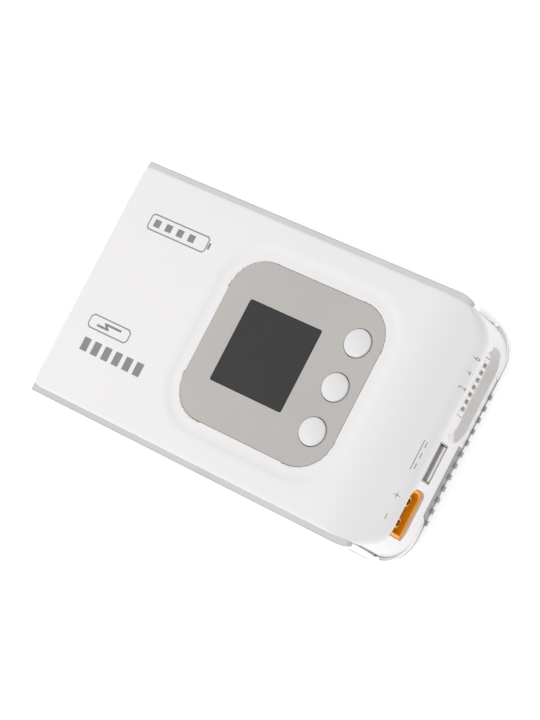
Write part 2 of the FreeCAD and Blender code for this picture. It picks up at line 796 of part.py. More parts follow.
def port_board_holes():
    half = port_board_width / 2 - board_screw_inset
    x = port_board_x - port_board_length / 2 + board_screw_inset
    return [(x, port_board_y - half), (x, port_board_y + half)]


def board_bosses():
    """Every boss under a board: its place and the height of the board's underside."""
    low = z_board - board_thick
    places = [(x, y, low) for x, y in main_board_holes() + input_board_holes()]
    return places + [(x, y, z_port_board - board_thick) for x, y in port_board_holes()]


def drilled(board, holes):
    """Board with its screw holes."""
    for x, y in holes:
        board = board.cut(rod(x, y, 0, screw_radius + 0.15, 2 * z_top))
    return board


def main_board():
    board = centred_block(main_board_x, 0, z_board - board_thick, main_board_length,
                          main_board_width, board_thick)
    return drilled(board, main_board_holes())


def input_board():
    x0, x1 = input_board_span()
    half = input_board_width / 2
    board = block(x0, x1, input_board_y - half, input_board_y + half, z_board - board_thick, z_board)
    return drilled(board, input_board_holes())


def port_board():
    board = centred_block(port_board_x, port_board_y, z_port_board - board_thick,
                          port_board_length, port_board_width, board_thick)
    return drilled(board, port_board_holes())


def control_board():
    trim = 2 * panel_board_margin
    return rounded_plate(panel_x, 0, z_panel_board - panel_board_thick, panel_length - trim,
                         panel_width - trim, panel_radius - panel_board_margin,
                         panel_board_thick)


def screw_up(x, y, z_head, length):
    """Pan-head screw driven downwards: head on z_head, shank below it."""
    head = rod(x, y, z_head, screw_head_radius, screw_head_height)
    return head.fuse(rod(x, y, z_head - length, screw_radius, length)).removeSplitter()


def board_screws():
    solids = [screw_up(x, y, z_board, board_thick + board_stand - 0.4)
              for x, y in main_board_holes() + input_board_holes()]
    solids += [screw_up(x, y, z_port_board, board_thick + 4.0) for x, y in port_board_holes()]
    return group(solids)


def case_screws():
    """Screws driven up through the floor into the cover's posts."""
    solids = []
    z_seat = z_base + screw_head_height - 0.2
    for x, y in post_places():
        head = rod(x, y, z_seat - screw_head_height, screw_head_radius, screw_head_height)
        recess = centred_block(x, y, z_seat - screw_head_height - 0.1, 0.6, 2.6, 0.8)
        recess = recess.fuse(centred_block(x, y, z_seat - screw_head_height - 0.1, 2.6, 0.6, 0.8))
        shank = rod(x, y, z_seat, screw_radius, 8.0)
        solids.append(head.cut(recess).fuse(shank).removeSplitter())
    return group(solids)


# ---- sockets --------------------------------------------------------------------------------
def output_housing():
    """Orange keyed shroud, open towards +X, with a solid back that holds the contacts."""
    x0 = x_face - output_depth
    body = output_outline(x0, 0, output_depth - output_recess)
    cavity = output_outline(x0 + output_back, -output_wall, output_depth)
    body = body.cut(cavity)
    for side in (-1, 1):
        y = output_y + side * bullet_pitch / 2
        body = body.cut(rod(x0 - 1, y, z_socket, bullet_diameter / 2, output_back + 2, X_AXIS))
    return body


def output_contacts():
    """Hollow bullets, slotted at the end so that they spring."""
    solids = []
    x0 = x_face - output_depth
    tip = x_face - bullet_recess
    for side in (-1, 1):
        y = output_y + side * bullet_pitch / 2
        pin = rod(x0, y, z_socket, bullet_diameter / 2, tip - x0, X_AXIS)
        pin = pin.cut(rod(tip - bullet_bore_depth, y, z_socket, bullet_bore / 2,
                          bullet_bore_depth + 1, X_AXIS))
        slot = block(tip - bullet_bore_depth - 1, tip + 1, y - bullet_slot / 2,
                     y + bullet_slot / 2, z_socket - bullet_diameter, z_socket + bullet_diameter)
        solids.append(pin.cut(slot))
    return group(solids)


def usb_shell():
    """Plated sleeve, open towards +X."""
    x0 = x_face - usb_depth
    outer = usb_opening(0, x0, x_face)
    return outer.cut(usb_opening(-usb_wall, x0 + 1.0, x_face + 1))


def usb_tongue():
    """Tongue with its back plate, the tongue close to the sleeve's floor."""
    x0 = x_face - usb_depth + 1.0
    x1 = x_face - tongue_recess
    half_w = usb_width / 2 - usb_wall
    half_h = usb_height / 2 - usb_wall
    back = block(x0, x0 + 2.5, usb_y - half_w, usb_y + half_w, z_socket - half_h, z_socket + half_h)
    tongue = block(x0, x1, usb_y - tongue_width / 2, usb_y + tongue_width / 2,
                   z_tongue - tongue_thick, z_tongue)
    return back.fuse(tongue).removeSplitter()


def usb_contacts():
    """Strips lying on the tongue."""
    solids = []
    for index in range(usb_contact_count):
        y = usb_y + (index - (usb_contact_count - 1) / 2) * usb_contact_pitch
        solids.append(block(x_face - usb_depth + 4.0, x_face - tongue_recess - 1.5,
                            y - usb_contact_width / 2, y + usb_contact_width / 2,
                            z_tongue, z_tongue + usb_contact_thick))
    return group(solids)


def balance_header():
    """White body with one cell for each contact."""
    x0 = x_header - balance_depth
    body = balance_block(0, x0, x_header)
    for y in balance_places():
        body = body.cut(block(x0 + 2.0, x_header + 1, y - balance_cell / 2, y + balance_cell / 2,
                              z_balance - balance_cell_height / 2,
                              z_balance + balance_cell_height / 2))
    return body


def balance_places():
    middle = (balance_cells - 1) / 2
    return [balance_y + (index - middle) * balance_pitch for index in range(balance_cells)]


def balance_pins():
    half = balance_pin / 2
    x0 = x_header - balance_depth + 2.0
    return group([block(x0, x_header - 1.2, y - half, y + half, z_balance - half, z_balance + half)
                  for y in balance_places()])


def balance_bezel():
    """Grey ledge let into the lower side of the pocket."""
    return ledge_region(ledge_thick_out).cut(pocket_flared(0))


# ---- mains inlet ----------------------------------------------------------------------------
def inlet_housing():
    """Two-pole inlet with a waisted cavity, open towards -X."""
    x0 = x_rear + 0.4
    half_w, half_h = inlet_body_width / 2, inlet_body_height / 2
    body = block(x0, x0 + inlet_depth, inlet_y - half_w, inlet_y + half_w,
                 z_inlet - half_h, z_inlet + half_h)
    cavity = stadium(x0 - 1, inlet_y, z_inlet, inlet_cavity_width, inlet_cavity_height,
                     inlet_cavity_depth + 1)
    for side in (-1, 1):
        z = z_inlet + side * inlet_cavity_height / 2
        waist = rod(x0 - 2, inlet_y, z, inlet_waist, inlet_depth, X_AXIS)
        cavity = cavity.cut(waist)
    return body.cut(cavity)


def inlet_pins():
    solids = []
    x1 = x_rear + 0.4 + inlet_cavity_depth
    for side in (-1, 1):
        y = inlet_y + side * inlet_pin_pitch / 2
        pin = rod(x1 - inlet_pin_length + 1, y, z_inlet, inlet_pin_diameter / 2,
                  inlet_pin_length - 1, X_AXIS)
        nose = Part.makeSphere(inlet_pin_diameter / 2, V(x1 - inlet_pin_length + 1, y, z_inlet))
        solids.append(pin.fuse(nose).removeSplitter())
    return group(solids)


# ---- power parts on the boards --------------------------------------------------------------
def transformer_place():
    return main_board_x + transformer_x, transformer_y


def transformer_core():
    """Two ferrite E halves closed round the bobbin."""
    x, y = transformer_place()
    core = centred_block(x, y, z_board + core_lift, core_length, core_width, core_height)
    for side in (-1, 1):
        core = core.cut(centred_block(x + side * core_window_x, y, z_board + core_lift + core_shelf,
                                      core_window, core_width + 1, core_height - 2 * core_shelf))
    return core


def transformer_bobbin():
    """Base plate with a cheek at each end of the core."""
    x, y = transformer_place()
    bobbin = centred_block(x, y, z_board, bobbin_length, bobbin_width, bobbin_base)
    for side in (-1, 1):
        bobbin = bobbin.fuse(centred_block(x, y + side * bobbin_cheek_y, z_board, bobbin_length,
                                           bobbin_cheek, bobbin_height))
    return bobbin.removeSplitter()


def transformer_winding():
    """Taped winding in the two windows of the core."""
    x, y = transformer_place()
    z0 = z_board + core_lift + core_shelf + winding_gap
    return group([centred_block(x + side * core_window_x, y, z0, core_window - 2 * winding_gap,
                                core_width + 0.8, core_height - 2 * (core_shelf + winding_gap))
                  for side in (-1, 1)])


def capacitor_group(x, ys, radius, height):
    """Row of upright electrolytic cans."""
    return group([rod(x, y, z_board, radius, height) for y in ys])


def bulk_capacitors():
    return capacitor_group(main_board_x + bulk_can_x, bulk_can_ys, bulk_can_radius,
                           bulk_can_height)


def output_capacitors():
    return capacitor_group(main_board_x + output_can_x, output_can_ys, output_can_radius,
                           output_can_height)


def finned_sink(x, y, length):
    """Extruded heat sink: upright web with fins towards +Y."""
    sink = centred_block(x, y, z_board, length, sink_web, sink_height)
    count = int(length // fin_pitch)
    for index in range(count):
        fin_x = x + (index - (count - 1) / 2) * fin_pitch
        sink = sink.fuse(centred_block(fin_x, y + (sink_web + fin_depth) / 2 - 0.1, z_board,
                                       fin_thick, fin_depth, sink_height))
    return sink.removeSplitter()


def primary_heat_sink():
    return finned_sink(main_board_x + primary_sink_x, primary_sink_y, primary_sink_length)


def output_heat_sink():
    return finned_sink(main_board_x + output_sink_x, output_sink_y, output_sink_length)


def power_transistors():
    """Flat packages clamped to the plain sides of the two heat sinks."""
    back = (sink_web + package_thick) / 2 + package_gap
    return group([centred_block(main_board_x + x, y - back, z_board + package_lift,
                                package_length, package_thick, package_height)
                  for y in (primary_sink_y, output_sink_y) for x in package_xs])


def output_inductor():
    """Wire-wound ring lying flat."""
    return ring(main_board_x + inductor_x, inductor_y, z_board + 0.3, inductor_outer,
                inductor_inner, inductor_height)


def choke_place():
    return input_board_span()[1] - choke_setback, input_board_y


def choke_core():
    x, y = choke_place()
    return ring(x, y, z_board + choke_wire, choke_outer, choke_inner, choke_height)


def choke_windings():
    """Two windings, one on each half of the ring."""
    x, y = choke_place()
    z0 = z_board + choke_wire - fit_gap / 2
    room = ring(x, y, z0, choke_outer + fit_gap / 2, choke_inner - fit_gap / 2,
                choke_height + fit_gap)
    full = ring(x, y, z_board + 0.2, choke_outer + choke_wire, choke_inner - choke_wire,
                choke_height + 2 * choke_wire - 0.4)
    full = full.cut(room)
    gap = centred_block(x, y, z_board - 1, choke_split, FAR, 2 * choke_height)
    return full.cut(gap)


def line_capacitor():
    return rounded_plate(input_board_span()[1] - capacitor_setback, input_board_y, z_board,
                         capacitor_length, capacitor_width, 0.6, capacitor_height)


def fuse_link():
    return rod(input_board_span()[1] - fuse_setback, input_board_y - fuse_length / 2,
               z_board + fuse_radius + 0.7, fuse_radius, fuse_length, Y_AXIS)


def bridge_rectifier():
    return centred_block(main_board_x + rectifier_x, rectifier_y, z_board, rectifier_length,
                         rectifier_width, rectifier_height)


def control_chip():
    """Controller under the control board."""
    return centred_block(panel_x + chip_x, 0, z_panel_board - panel_board_thick - chip_thick,
                         chip_size, chip_size, chip_thick)


def board_link():
    """Upright pin strip between the control board and the main board."""
    height = z_panel_board - panel_board_thick - z_board
    return centred_block(main_board_x, link_y, z_board, link_length, link_width, height)


def insulation_sheet():
    """Thin sheet on the floor under the main board."""
    return centred_block(main_board_x, 0, z_floor,
                         main_board_length - 2 * (board_screw_inset + sheet_margin / 2),
                         main_board_width - 2 * sheet_margin, sheet_thick)


# ---- fan ------------------------------------------------------------------------------------
def fan_posts():
    half = fan_hole_pitch / 2
    return [(fan_x + sx * half, fan_y + sy * half) for sx in (-1, 1) for sy in (-1, 1)]


def fan_frame():
    """Square frame with a hub plate on three arms."""
    frame = rounded_plate(fan_x, fan_y, z_fan, fan_size, fan_size, fan_corner, fan_thick)
    frame = frame.cut(rod(fan_x, fan_y, z_fan - 1, fan_bore / 2, fan_thick + 2))
    base = rod(fan_x, fan_y, z_fan, hub_diameter / 2, 1.2)
    frame = frame.fuse(base)
    for angle in (20, 140, 260):
        arm = block(0, fan_bore / 2 + 1.5, -1.1, 1.1, 0, 1.2)
        arm.rotate(V(0, 0, 0), Z_AXIS, angle)
        arm.translate(V(fan_x, fan_y, z_fan))
        frame = frame.fuse(arm)
    frame = frame.cut(rod(fan_x, fan_y, z_fan - 1, bearing_diameter / 2, fan_thick))
    for x, y in fan_posts():
        frame = frame.cut(rod(x, y, z_fan - 1, fan_hole_diameter / 2, fan_thick + 2))
    return frame.removeSplitter()


def fan_bearing():
    return ring(fan_x, fan_y, z_fan, bearing_diameter / 2, shaft_diameter / 2 + shaft_gap, 6.4)


def fan_stator():
    return ring(fan_x, fan_y, z_fan + 2.0, hub_diameter / 2 - hub_wall - 0.8,
                bearing_diameter / 2, 4.2)


def fan_rotor():
    """Hub cup with swept blades; it turns over the stator."""
    z0, z1 = z_fan + 1.8, z_fan + fan_thick - 0.6
    hub = rod(fan_x, fan_y, z0, hub_diameter / 2, z1 - z0)
    hub = hub.cut(rod(fan_x, fan_y, z0 - 1, hub_diameter / 2 - hub_wall, z1 - z0 + 1 - 1.2))
    reach = fan_bore / 2 - rotor_gap
    band = ring(fan_x, fan_y, z0 + 0.3, reach, hub_diameter / 2 - 0.3, z1 - z0 - 0.9)
    for index in range(blade_count):
        blade = Part.makeBox(reach, 14.0, blade_thick, V(0, -7.0, -blade_thick / 2))
        blade.rotate(V(0, 0, 0), X_AXIS, blade_pitch_angle)
        blade.rotate(V(0, 0, 0), Z_AXIS, index * 360.0 / blade_count)
        blade.translate(V(fan_x, fan_y, (z0 + z1) / 2))
        hub = hub.fuse(blade.common(band))
    hub = hub.cut(rod(fan_x, fan_y, z0, shaft_diameter / 2, z1 - z0 - 0.5))
    return hub.removeSplitter()


def fan_shaft():
    z1 = z_fan + fan_thick - 0.6 - 0.5
    return rod(fan_x, fan_y, z_fan + 0.4, shaft_diameter / 2, z1 - z_fan - 0.4)


def fan_screws():
    return group([screw_up(x, y, z_fan + fan_thick, fan_thick + 0.6) for x, y in fan_posts()])


def rubber_feet():
    solids = []
    for x, y in foot_places():
        foot = rod(x, y, 0, foot_diameter / 2, foot_drop + foot_seat)
        rim = [edge for edge in foot.Edges if abs(edge.CenterOfMass.z) < 0.01]
        solids.append(foot.makeFillet(0.4, rim))
    return group(solids)


# ---- write every node -----------------------------------------------------------------------
os.makedirs("parts", exist_ok=True)

nodes = {
    "top_cover": top_cover, "bottom_shell": bottom_shell, "rear_panel": rear_panel,
    "control_panel": control_panel, "display_window": display_window,
    "display_module": display_module, "display_frame": display_frame,
    "switch_bodies": switch_bodies, "control_board": control_board, "control_chip": control_chip,
    "main_board": main_board, "input_board": input_board, "port_board": port_board,
    "insulation_sheet": insulation_sheet, "board_link": board_link,
    "output_housing": output_housing, "output_contacts": output_contacts,
    "usb_shell": usb_shell, "usb_tongue": usb_tongue, "usb_contacts": usb_contacts,
    "balance_bezel": balance_bezel, "balance_header": balance_header,
    "balance_pins": balance_pins, "inlet_housing": inlet_housing, "inlet_pins": inlet_pins,
    "transformer_core": transformer_core, "transformer_bobbin": transformer_bobbin,
    "transformer_winding": transformer_winding, "bulk_capacitors": bulk_capacitors,
    "output_capacitors": output_capacitors, "primary_heat_sink": primary_heat_sink,
    "output_heat_sink": output_heat_sink, "power_transistors": power_transistors,
    "output_inductor": output_inductor, "choke_core": choke_core,
    "choke_windings": choke_windings, "line_capacitor": line_capacitor, "fuse_link": fuse_link,
    "bridge_rectifier": bridge_rectifier, "fan_frame": fan_frame, "fan_bearing": fan_bearing,
    "fan_stator": fan_stator, "fan_rotor": fan_rotor, "fan_shaft": fan_shaft,
    "fan_screws": fan_screws, "board_screws": board_screws, "case_screws": case_screws,
    "rubber_feet": rubber_feet,
}
for node, make in nodes.items():
    save(node, make())

for side, name in ((-1, "trim_strip_output_side"), (1, "trim_strip_balance_side")):
    save(name, trim_strip(side))

for index, (x, y) in enumerate(button_places()):
    save("button_%d" % (index + 1), button_cap(x, y))
    save("plunger_%d" % (index + 1), switch_plunger(x, y))
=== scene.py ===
"""Finished look of a desktop balance charger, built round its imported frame.

Sizes are in millimetres until a mesh is written, which is in metres like the frame.
"""
import logging
import math
from dataclasses import dataclass, field
from enum import Enum

import bmesh
import bpy
from mathutils import Matrix, Vector


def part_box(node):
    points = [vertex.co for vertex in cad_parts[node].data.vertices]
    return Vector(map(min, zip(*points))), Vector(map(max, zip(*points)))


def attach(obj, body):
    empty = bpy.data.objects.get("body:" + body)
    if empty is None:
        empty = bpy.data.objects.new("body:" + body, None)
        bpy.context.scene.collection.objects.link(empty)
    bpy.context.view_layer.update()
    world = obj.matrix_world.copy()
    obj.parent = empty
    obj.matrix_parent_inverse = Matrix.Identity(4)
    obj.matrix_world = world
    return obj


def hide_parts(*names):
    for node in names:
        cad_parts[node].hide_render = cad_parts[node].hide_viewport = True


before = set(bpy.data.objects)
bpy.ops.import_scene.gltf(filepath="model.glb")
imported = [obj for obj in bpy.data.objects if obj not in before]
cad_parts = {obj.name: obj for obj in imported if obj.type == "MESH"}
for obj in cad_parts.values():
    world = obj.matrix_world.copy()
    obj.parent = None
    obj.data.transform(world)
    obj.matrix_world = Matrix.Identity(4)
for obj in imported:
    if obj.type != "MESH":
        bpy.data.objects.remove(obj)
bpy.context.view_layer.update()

MM = 0.001
CASE = "case"
BANDS_TO_SCALE = 0.314      # wave texture scale that gives one band for each unit of length
log = logging.getLogger("charger")

Tree = bpy.types.NodeTree
Socket = bpy.types.NodeSocket
Piece = bpy.types.Object


class Axis(Enum):
    """Direction that a pattern or a row follows."""

    X = Vector((1.0, 0.0, 0.0))
    Y = Vector((0.0, 1.0, 0.0))
    Z = Vector((0.0, 0.0, 1.0))


class Join(Enum):
    """How two solids are combined."""

    COMMON = "INTERSECT"
    CUT = "DIFFERENCE"


# ---- materials ------------------------------------------------------------------------------
def linear(code: str) -> tuple[float, float, float, float]:
    """Turn an sRGB hex colour into a linear one.

    Args:
        code: Six hex digits, such as "f0eeee".

    Returns:
        Linear red, green, blue and an alpha of 1.
    """
    def channel(start: int) -> float:
        """Linear value of one two-digit channel."""
        value = int(code[start:start + 2], 16) / 255
        return value / 12.92 if value <= 0.04045 else ((value + 0.055) / 1.055) ** 2.4
    return channel(0), channel(2), channel(4), 1.0


def add(tree: Tree, kind: str, inputs: dict | None = None,
        **settings: object) -> bpy.types.Node:
    """Add one node with its settings, its constant inputs and its links.

    Args:
        tree: Tree that gets the node.
        kind: Blender's name of the node type.
        inputs: Values or output sockets, by the input's name or number.
        settings: Attributes of the node.

    Returns:
        The new node.
    """
    node = tree.nodes.new(kind)
    for name, value in settings.items():
        setattr(node, name, value)
    for key, value in (inputs or {}).items():
        socket = node.inputs[key]
        if isinstance(value, Socket):
            tree.links.new(value, socket)
        else:
            socket.default_value = value
    return node


@dataclass(frozen=True)
class Finish:
    """What every finish has: a name, two close tones and a fine relief.

    The two tones are mixed by a soft noise, so that no surface is one flat colour.
    """

    name: str
    colour: str
    second: str
    roughness: float = 0.4
    tone_mm: float = 12.0
    grain_mm: float = 0.5
    relief_mm: float = 0.01
    extra: dict = field(default_factory=dict)

    def relief(self, tree: Tree, point: Socket) -> Socket:
        """Height pattern of the surface, 0 to 1, made of noise one grain wide."""
        scale = 1 / (self.grain_mm * MM)
        noise = add(tree, "ShaderNodeTexNoise", {"Vector": point, "Scale": scale,
                                                 "Detail": 3.0, "Roughness": 0.6})
        return noise.outputs["Fac"]

    def tone(self, tree: Tree, point: Socket) -> Socket:
        """Colour of the surface: the two tones mixed by a soft cloud."""
        cloud = add(tree, "ShaderNodeTexNoise", {"Vector": point, "Scale": 1 / (self.tone_mm * MM),
                                                 "Detail": 4.0, "Roughness": 0.55})
        spread = add(tree, "ShaderNodeMapRange", {"Value": cloud.outputs["Fac"], "From Min": 0.3,
                                                  "From Max": 0.7})
        mix = add(tree, "ShaderNodeMix", {0: spread.outputs["Result"], 6: linear(self.colour),
                                          7: linear(self.second)}, data_type="RGBA")
        return mix.outputs[2]

    def material(self) -> bpy.types.Material:
        """Build the material once and hand out the same one after that.

        Returns:
            The material.
        """
        known = bpy.data.materials.get(self.name)
        if known is not None:
            return known
        material = bpy.data.materials.new(self.name)
        material.use_nodes = True
        tree = material.node_tree
        shader = tree.nodes["Principled BSDF"]
        point = add(tree, "ShaderNodeTexCoord").outputs["Object"]
        tree.links.new(self.tone(tree, point), shader.inputs["Base Color"])
        height = self.relief(tree, point)
        bump = add(tree, "ShaderNodeBump", {"Height": height, "Strength": 1.0,
                                            "Distance": self.relief_mm * MM})
        tree.links.new(bump.outputs["Normal"], shader.inputs["Normal"])
        sheen = add(tree, "ShaderNodeMapRange", {"Value": height, "To Min": self.roughness * 0.85,
                                                 "To Max": min(self.roughness * 1.15, 1.0)})
        tree.links.new(sheen.outputs["Result"], shader.inputs["Roughness"])
        for key, value in self.extra.items():
            shader.inputs[key].default_value = value
        return material


@dataclass(frozen=True)
class Brushed(Finish):
    """Metal with fine lines drawn along one axis."""

    along: Axis = Axis.X
    stretch: float = 30.0

    def relief(self, tree: Tree, point: Socket) -> Socket:
        """Noise drawn out along the brushing."""
        scale = tuple(1.0 / self.stretch if part else 1.0 for part in self.along.value)
        turned = add(tree, "ShaderNodeMapping", {"Vector": point, "Scale": scale})
        noise = add(tree, "ShaderNodeTexNoise", {"Vector": turned.outputs["Vector"],
                                                 "Scale": 1 / (self.grain_mm * MM), "Detail": 2.0})
        return noise.outputs["Fac"]


@dataclass(frozen=True)
class Wound(Finish):
    """Turns of enamelled wire or tape, one ridge for each turn."""

    along: Axis = Axis.Z

    def relief(self, tree: Tree, point: Socket) -> Socket:
        """Round ridges, one turn apart."""
        scale = BANDS_TO_SCALE / (self.grain_mm * MM)
        turns = add(tree, "ShaderNodeTexWave", {"Vector": point, "Scale": scale,
                                                "Distortion": 0.4, "Detail": 1.0},
                    wave_type="BANDS", bands_direction=self.along.name)
        return turns.outputs["Fac"]


@dataclass(frozen=True)
class Board(Finish):
    """Circuit board: solder resist over copper tracks that stand up slightly."""

    def relief(self, tree: Tree, point: Socket) -> Socket:
        """Square-cornered tracks from the edges between cells."""
        scale = 1 / (self.grain_mm * MM)
        cells = add(tree, "ShaderNodeTexVoronoi", {"Vector": point, "Scale": scale,
                                                   "Randomness": 0.7},
                    feature="F1", distance="CHEBYCHEV")
        step = add(tree, "ShaderNodeMath", {0: cells.outputs["Distance"], 1: 0.42},
                   operation="GREATER_THAN")
        return step.outputs["Value"]

    def tone(self, tree: Tree, point: Socket) -> Socket:
        """Resist is lighter over the tracks."""
        mix = add(tree, "ShaderNodeMix", {0: self.relief(tree, point), 6: linear(self.colour),
                                          7: linear(self.second)}, data_type="RGBA")
        return mix.outputs[2]


# Injection-moulded gloss ABS: clean white, soft highlights, barely any grain.
COVER_WHITE = Finish("abs_gloss_white", "f1efef", "efedee", 0.30, 40.0, 3.0, 0.006,
                     {"IOR": 1.49, "Coat Weight": 0.25, "Coat Roughness": 0.08})
# The same plastic, polished more: small bright glints on the crowns.
KEY_WHITE = Finish("abs_key_white", "ecebeb", "e8e7e7", 0.28, 9.0, 1.6, 0.006,
                   {"IOR": 1.49, "Coat Weight": 0.35, "Coat Roughness": 0.06})
# Spark-eroded mould texture: matt grey that scatters light evenly.
SHELL_GREY = Finish("abs_spark_textured_grey", "aeacae", "a8a6a8", 0.55, 25.0, 0.28, 0.035)
# The same texture in dark grey, for the rear end.
REAR_GREY = Finish("abs_spark_textured_dark", "4a4a4c", "444446", 0.5, 25.0, 0.28, 0.035)
# Satin polycarbonate: warm grey with a broad, weak sheen.
PANEL_GREY = Finish("polycarbonate_satin_grey", "bfbcb8", "bab7b3", 0.42, 30.0, 0.22, 0.012)
# Smoked acrylic: near black, weak reflections over a hidden screen.
WINDOW_DARK = Finish("acrylic_smoked", "383838", "363637", 0.3, 30.0, 2.5, 0.002,
                     {"IOR": 1.35})
# Glass of the display that is off: dark and sharp.
SCREEN_GLASS = Finish("screen_glass", "14181c", "101418", 0.1, 20.0, 2.0, 0.001)
# Glass-filled nylon: black with a fine dull grain.
MOULDING_BLACK = Finish("nylon_black", "1d1d1f", "232325", 0.45, 10.0, 0.3, 0.02)
# Chrome plating on plastic: bright, lines drawn along the strip.
TRIM_SILVER = Brushed("chrome_plated_abs", "e6e6e7", "dededf", 0.13, 18.0, 0.35, 0.004,
                      {"Metallic": 1.0}, Axis.X, 60.0)
# Nickel plate over rolled steel: slightly yellow metal with drawn lines.
SOCKET_STEEL = Brushed("nickel_plated_steel", "c9c8c4", "bcbbb7", 0.26, 6.0, 0.2, 0.006,
                       {"Metallic": 1.0}, Axis.Y, 20.0)
# Zinc plate: bluish grey and duller than nickel.
SCREW_STEEL = Brushed("zinc_plated_steel", "a9aaad", "9a9b9e", 0.34, 3.0, 0.2, 0.008,
                      {"Metallic": 1.0}, Axis.Y, 6.0)
# Thin gold over brass: warm metal with faint drawn lines.
CONTACT_GOLD = Brushed("gold_plated_brass", "e3b65a", "d5a549", 0.24, 5.0, 0.15, 0.004,
                       {"Metallic": 1.0}, Axis.X, 12.0)
# Extruded aluminium: pale metal with lines along the extrusion.
SINK_ALUMINIUM = Brushed("extruded_aluminium", "c2c4c6", "b4b6b8", 0.36, 8.0, 0.3, 0.012,
                         {"Metallic": 1.0}, Axis.Z, 30.0)
# Moulded nylon, strongly coloured, with a soft sheen.
HOUSING_ORANGE = Finish("nylon_orange", "ffb022", "ffa212", 0.34, 5.0, 0.7, 0.008, {"IOR": 1.53})
# Uncoloured nylon: milky, light spreads a little below the surface.
HEADER_WHITE = Finish("nylon_natural", "efedea", "e9e7e3", 0.4, 5.0, 0.6, 0.008,
                      {"Subsurface Weight": 0.2, "Subsurface Scale": 0.001})
# Matt ABS in warm grey, darker than the cover: partly the ledge's own grey, partly painted shade in
# the balance pocket.
LEDGE_GREY_AND_SHADE = Finish("abs_warm_grey_and_painted_shade", "cfccca", "c8c5c3", 0.5, 12.0, 0.3, 0.015)
# Moulded polyester: grey insulator with a low sheen, painted paler than its own grey as painted
# light on the tongue deep in the socket.
TONGUE_GREY_PAINTED_LIGHT = Finish("pbt_grey_painted_light", "dbd9da", "d4d2d3", 0.45, 5.0, 0.3, 0.01)
# Moulded rubber: dark and dull.
FOOT_RUBBER = Finish("moulded_rubber", "26262a", "303033", 0.75, 5.0, 0.35, 0.03)
# Pressed and sintered powder: dark grey, gritty.
FERRITE = Finish("sintered_ferrite", "2c2d30", "38393c", 0.62, 4.0, 0.4, 0.05)
# Overlapping turns of polyester tape: yellow with low ridges.
TAPE_YELLOW = Wound("polyester_tape", "e2b92c", "d8ac20", 0.35, 6.0, 1.2, 0.05)
# Enamelled wire laid turn by turn: reddish metal ridges.
COPPER_WIRE = Wound("enamelled_copper", "b5622c", "8c4319", 0.3, 2.0, 0.7, 0.18,
                    {"Metallic": 0.85})
# Shrunk sleeve over a metal can: dark, slightly glossy.
CAN_SLEEVE = Finish("shrink_sleeve_dark", "24262f", "2b2d38", 0.3, 7.0, 0.9, 0.02)
# Solder resist over copper: green, lighter where tracks stand up.
BOARD_GREEN = Board("solder_resist_green", "0f5a33", "187343", 0.32, 10.0, 2.2, 0.035)
# Insulating polyester film: pale yellowish sheet.
SHEET_CLEAR = Finish("polyester_film", "d8d6c6", "cfccb9", 0.3, 15.0, 1.2, 0.01)
# Glass tube seen from outside: pale, very smooth.
FUSE_GLASS = Finish("fuse_glass", "dfe3e4", "cfd5d6", 0.08, 3.0, 1.0, 0.004)
# Pad-printed ink: flat grey film without gloss.
INK_GREY = Finish("pad_print_grey", "8f8f91", "87878a", 0.45, 3.0, 0.3, 0.003)

CAD_FINISHES = {
    "rear_panel": REAR_GREY, "display_module": SCREEN_GLASS, "display_frame": MOULDING_BLACK,
    "switch_bodies": MOULDING_BLACK, "control_board": BOARD_GREEN, "control_chip": MOULDING_BLACK,
    "main_board": BOARD_GREEN, "input_board": BOARD_GREEN, "port_board": BOARD_GREEN,
    "insulation_sheet": SHEET_CLEAR, "board_link": MOULDING_BLACK, "inlet_pins": SOCKET_STEEL,
    "transformer_core": FERRITE, "transformer_bobbin": MOULDING_BLACK,
    "transformer_winding": TAPE_YELLOW, "bulk_capacitors": CAN_SLEEVE,
    "output_capacitors": CAN_SLEEVE, "primary_heat_sink": SINK_ALUMINIUM,
    "output_heat_sink": SINK_ALUMINIUM, "power_transistors": MOULDING_BLACK,
    "output_inductor": COPPER_WIRE, "choke_core": FERRITE, "choke_windings": COPPER_WIRE,
    "line_capacitor": TAPE_YELLOW, "fuse_link": FUSE_GLASS, "bridge_rectifier": MOULDING_BLACK,
    "fan_bearing": CONTACT_GOLD, "fan_stator": COPPER_WIRE, "fan_shaft": SOCKET_STEEL,
    "fan_screws": SCREW_STEEL, "board_screws": SCREW_STEEL,
    "plunger_1": MOULDING_BLACK, "plunger_2": MOULDING_BLACK, "plunger_3": MOULDING_BLACK,
}


# ---- mesh work ------------------------------------------------------------------------------
def mesh_piece(name: str, points: list, faces: list) -> Piece:
    """Make an object at the origin from points and faces.

    Args:
        name: Name of the object and its mesh.
        points: Corner positions, in millimetres.
        faces: Corner numbers of each face.

    Returns:
        The new object, linked to the scene.
    """
    mesh = bpy.data.meshes.new(name)
    mesh.from_pydata([Vector(point) * MM for point in points], [], faces)
    work = bmesh.new()
    work.from_mesh(mesh)
    bmesh.ops.remove_doubles(work, verts=work.verts, dist=1e-7)
    bmesh.ops.recalc_face_normals(work, faces=work.faces)
    work.to_mesh(mesh)
    work.free()
    piece = bpy.data.objects.new(name, mesh)
    bpy.context.scene.collection.objects.link(piece)
    return piece


def shade(piece: Piece, angle: float) -> None:
    """Shade smooth, sharp where it turns by more than the angle, flat where square to an axis."""
    piece.data.polygons.foreach_set("use_smooth", [
        max(abs(part) for part in face.normal) < 0.99995 for face in piece.data.polygons])
    piece.data.set_sharp_from_angle(angle=math.radians(angle))
    even = piece.modifiers.new("even", "WEIGHTED_NORMAL")
    even.keep_sharp = True
    even.weight = 100
    bake_modifiers(piece)


def bake_modifiers(piece: Piece) -> None:
    """Turn the piece's modifiers into plain mesh and remove them."""
    graph = bpy.context.evaluated_depsgraph_get()
    result = bpy.data.meshes.new_from_object(piece.evaluated_get(graph))
    piece.modifiers.clear()
    old = piece.data
    piece.data = result
    result.name = piece.name
    bpy.data.meshes.remove(old)


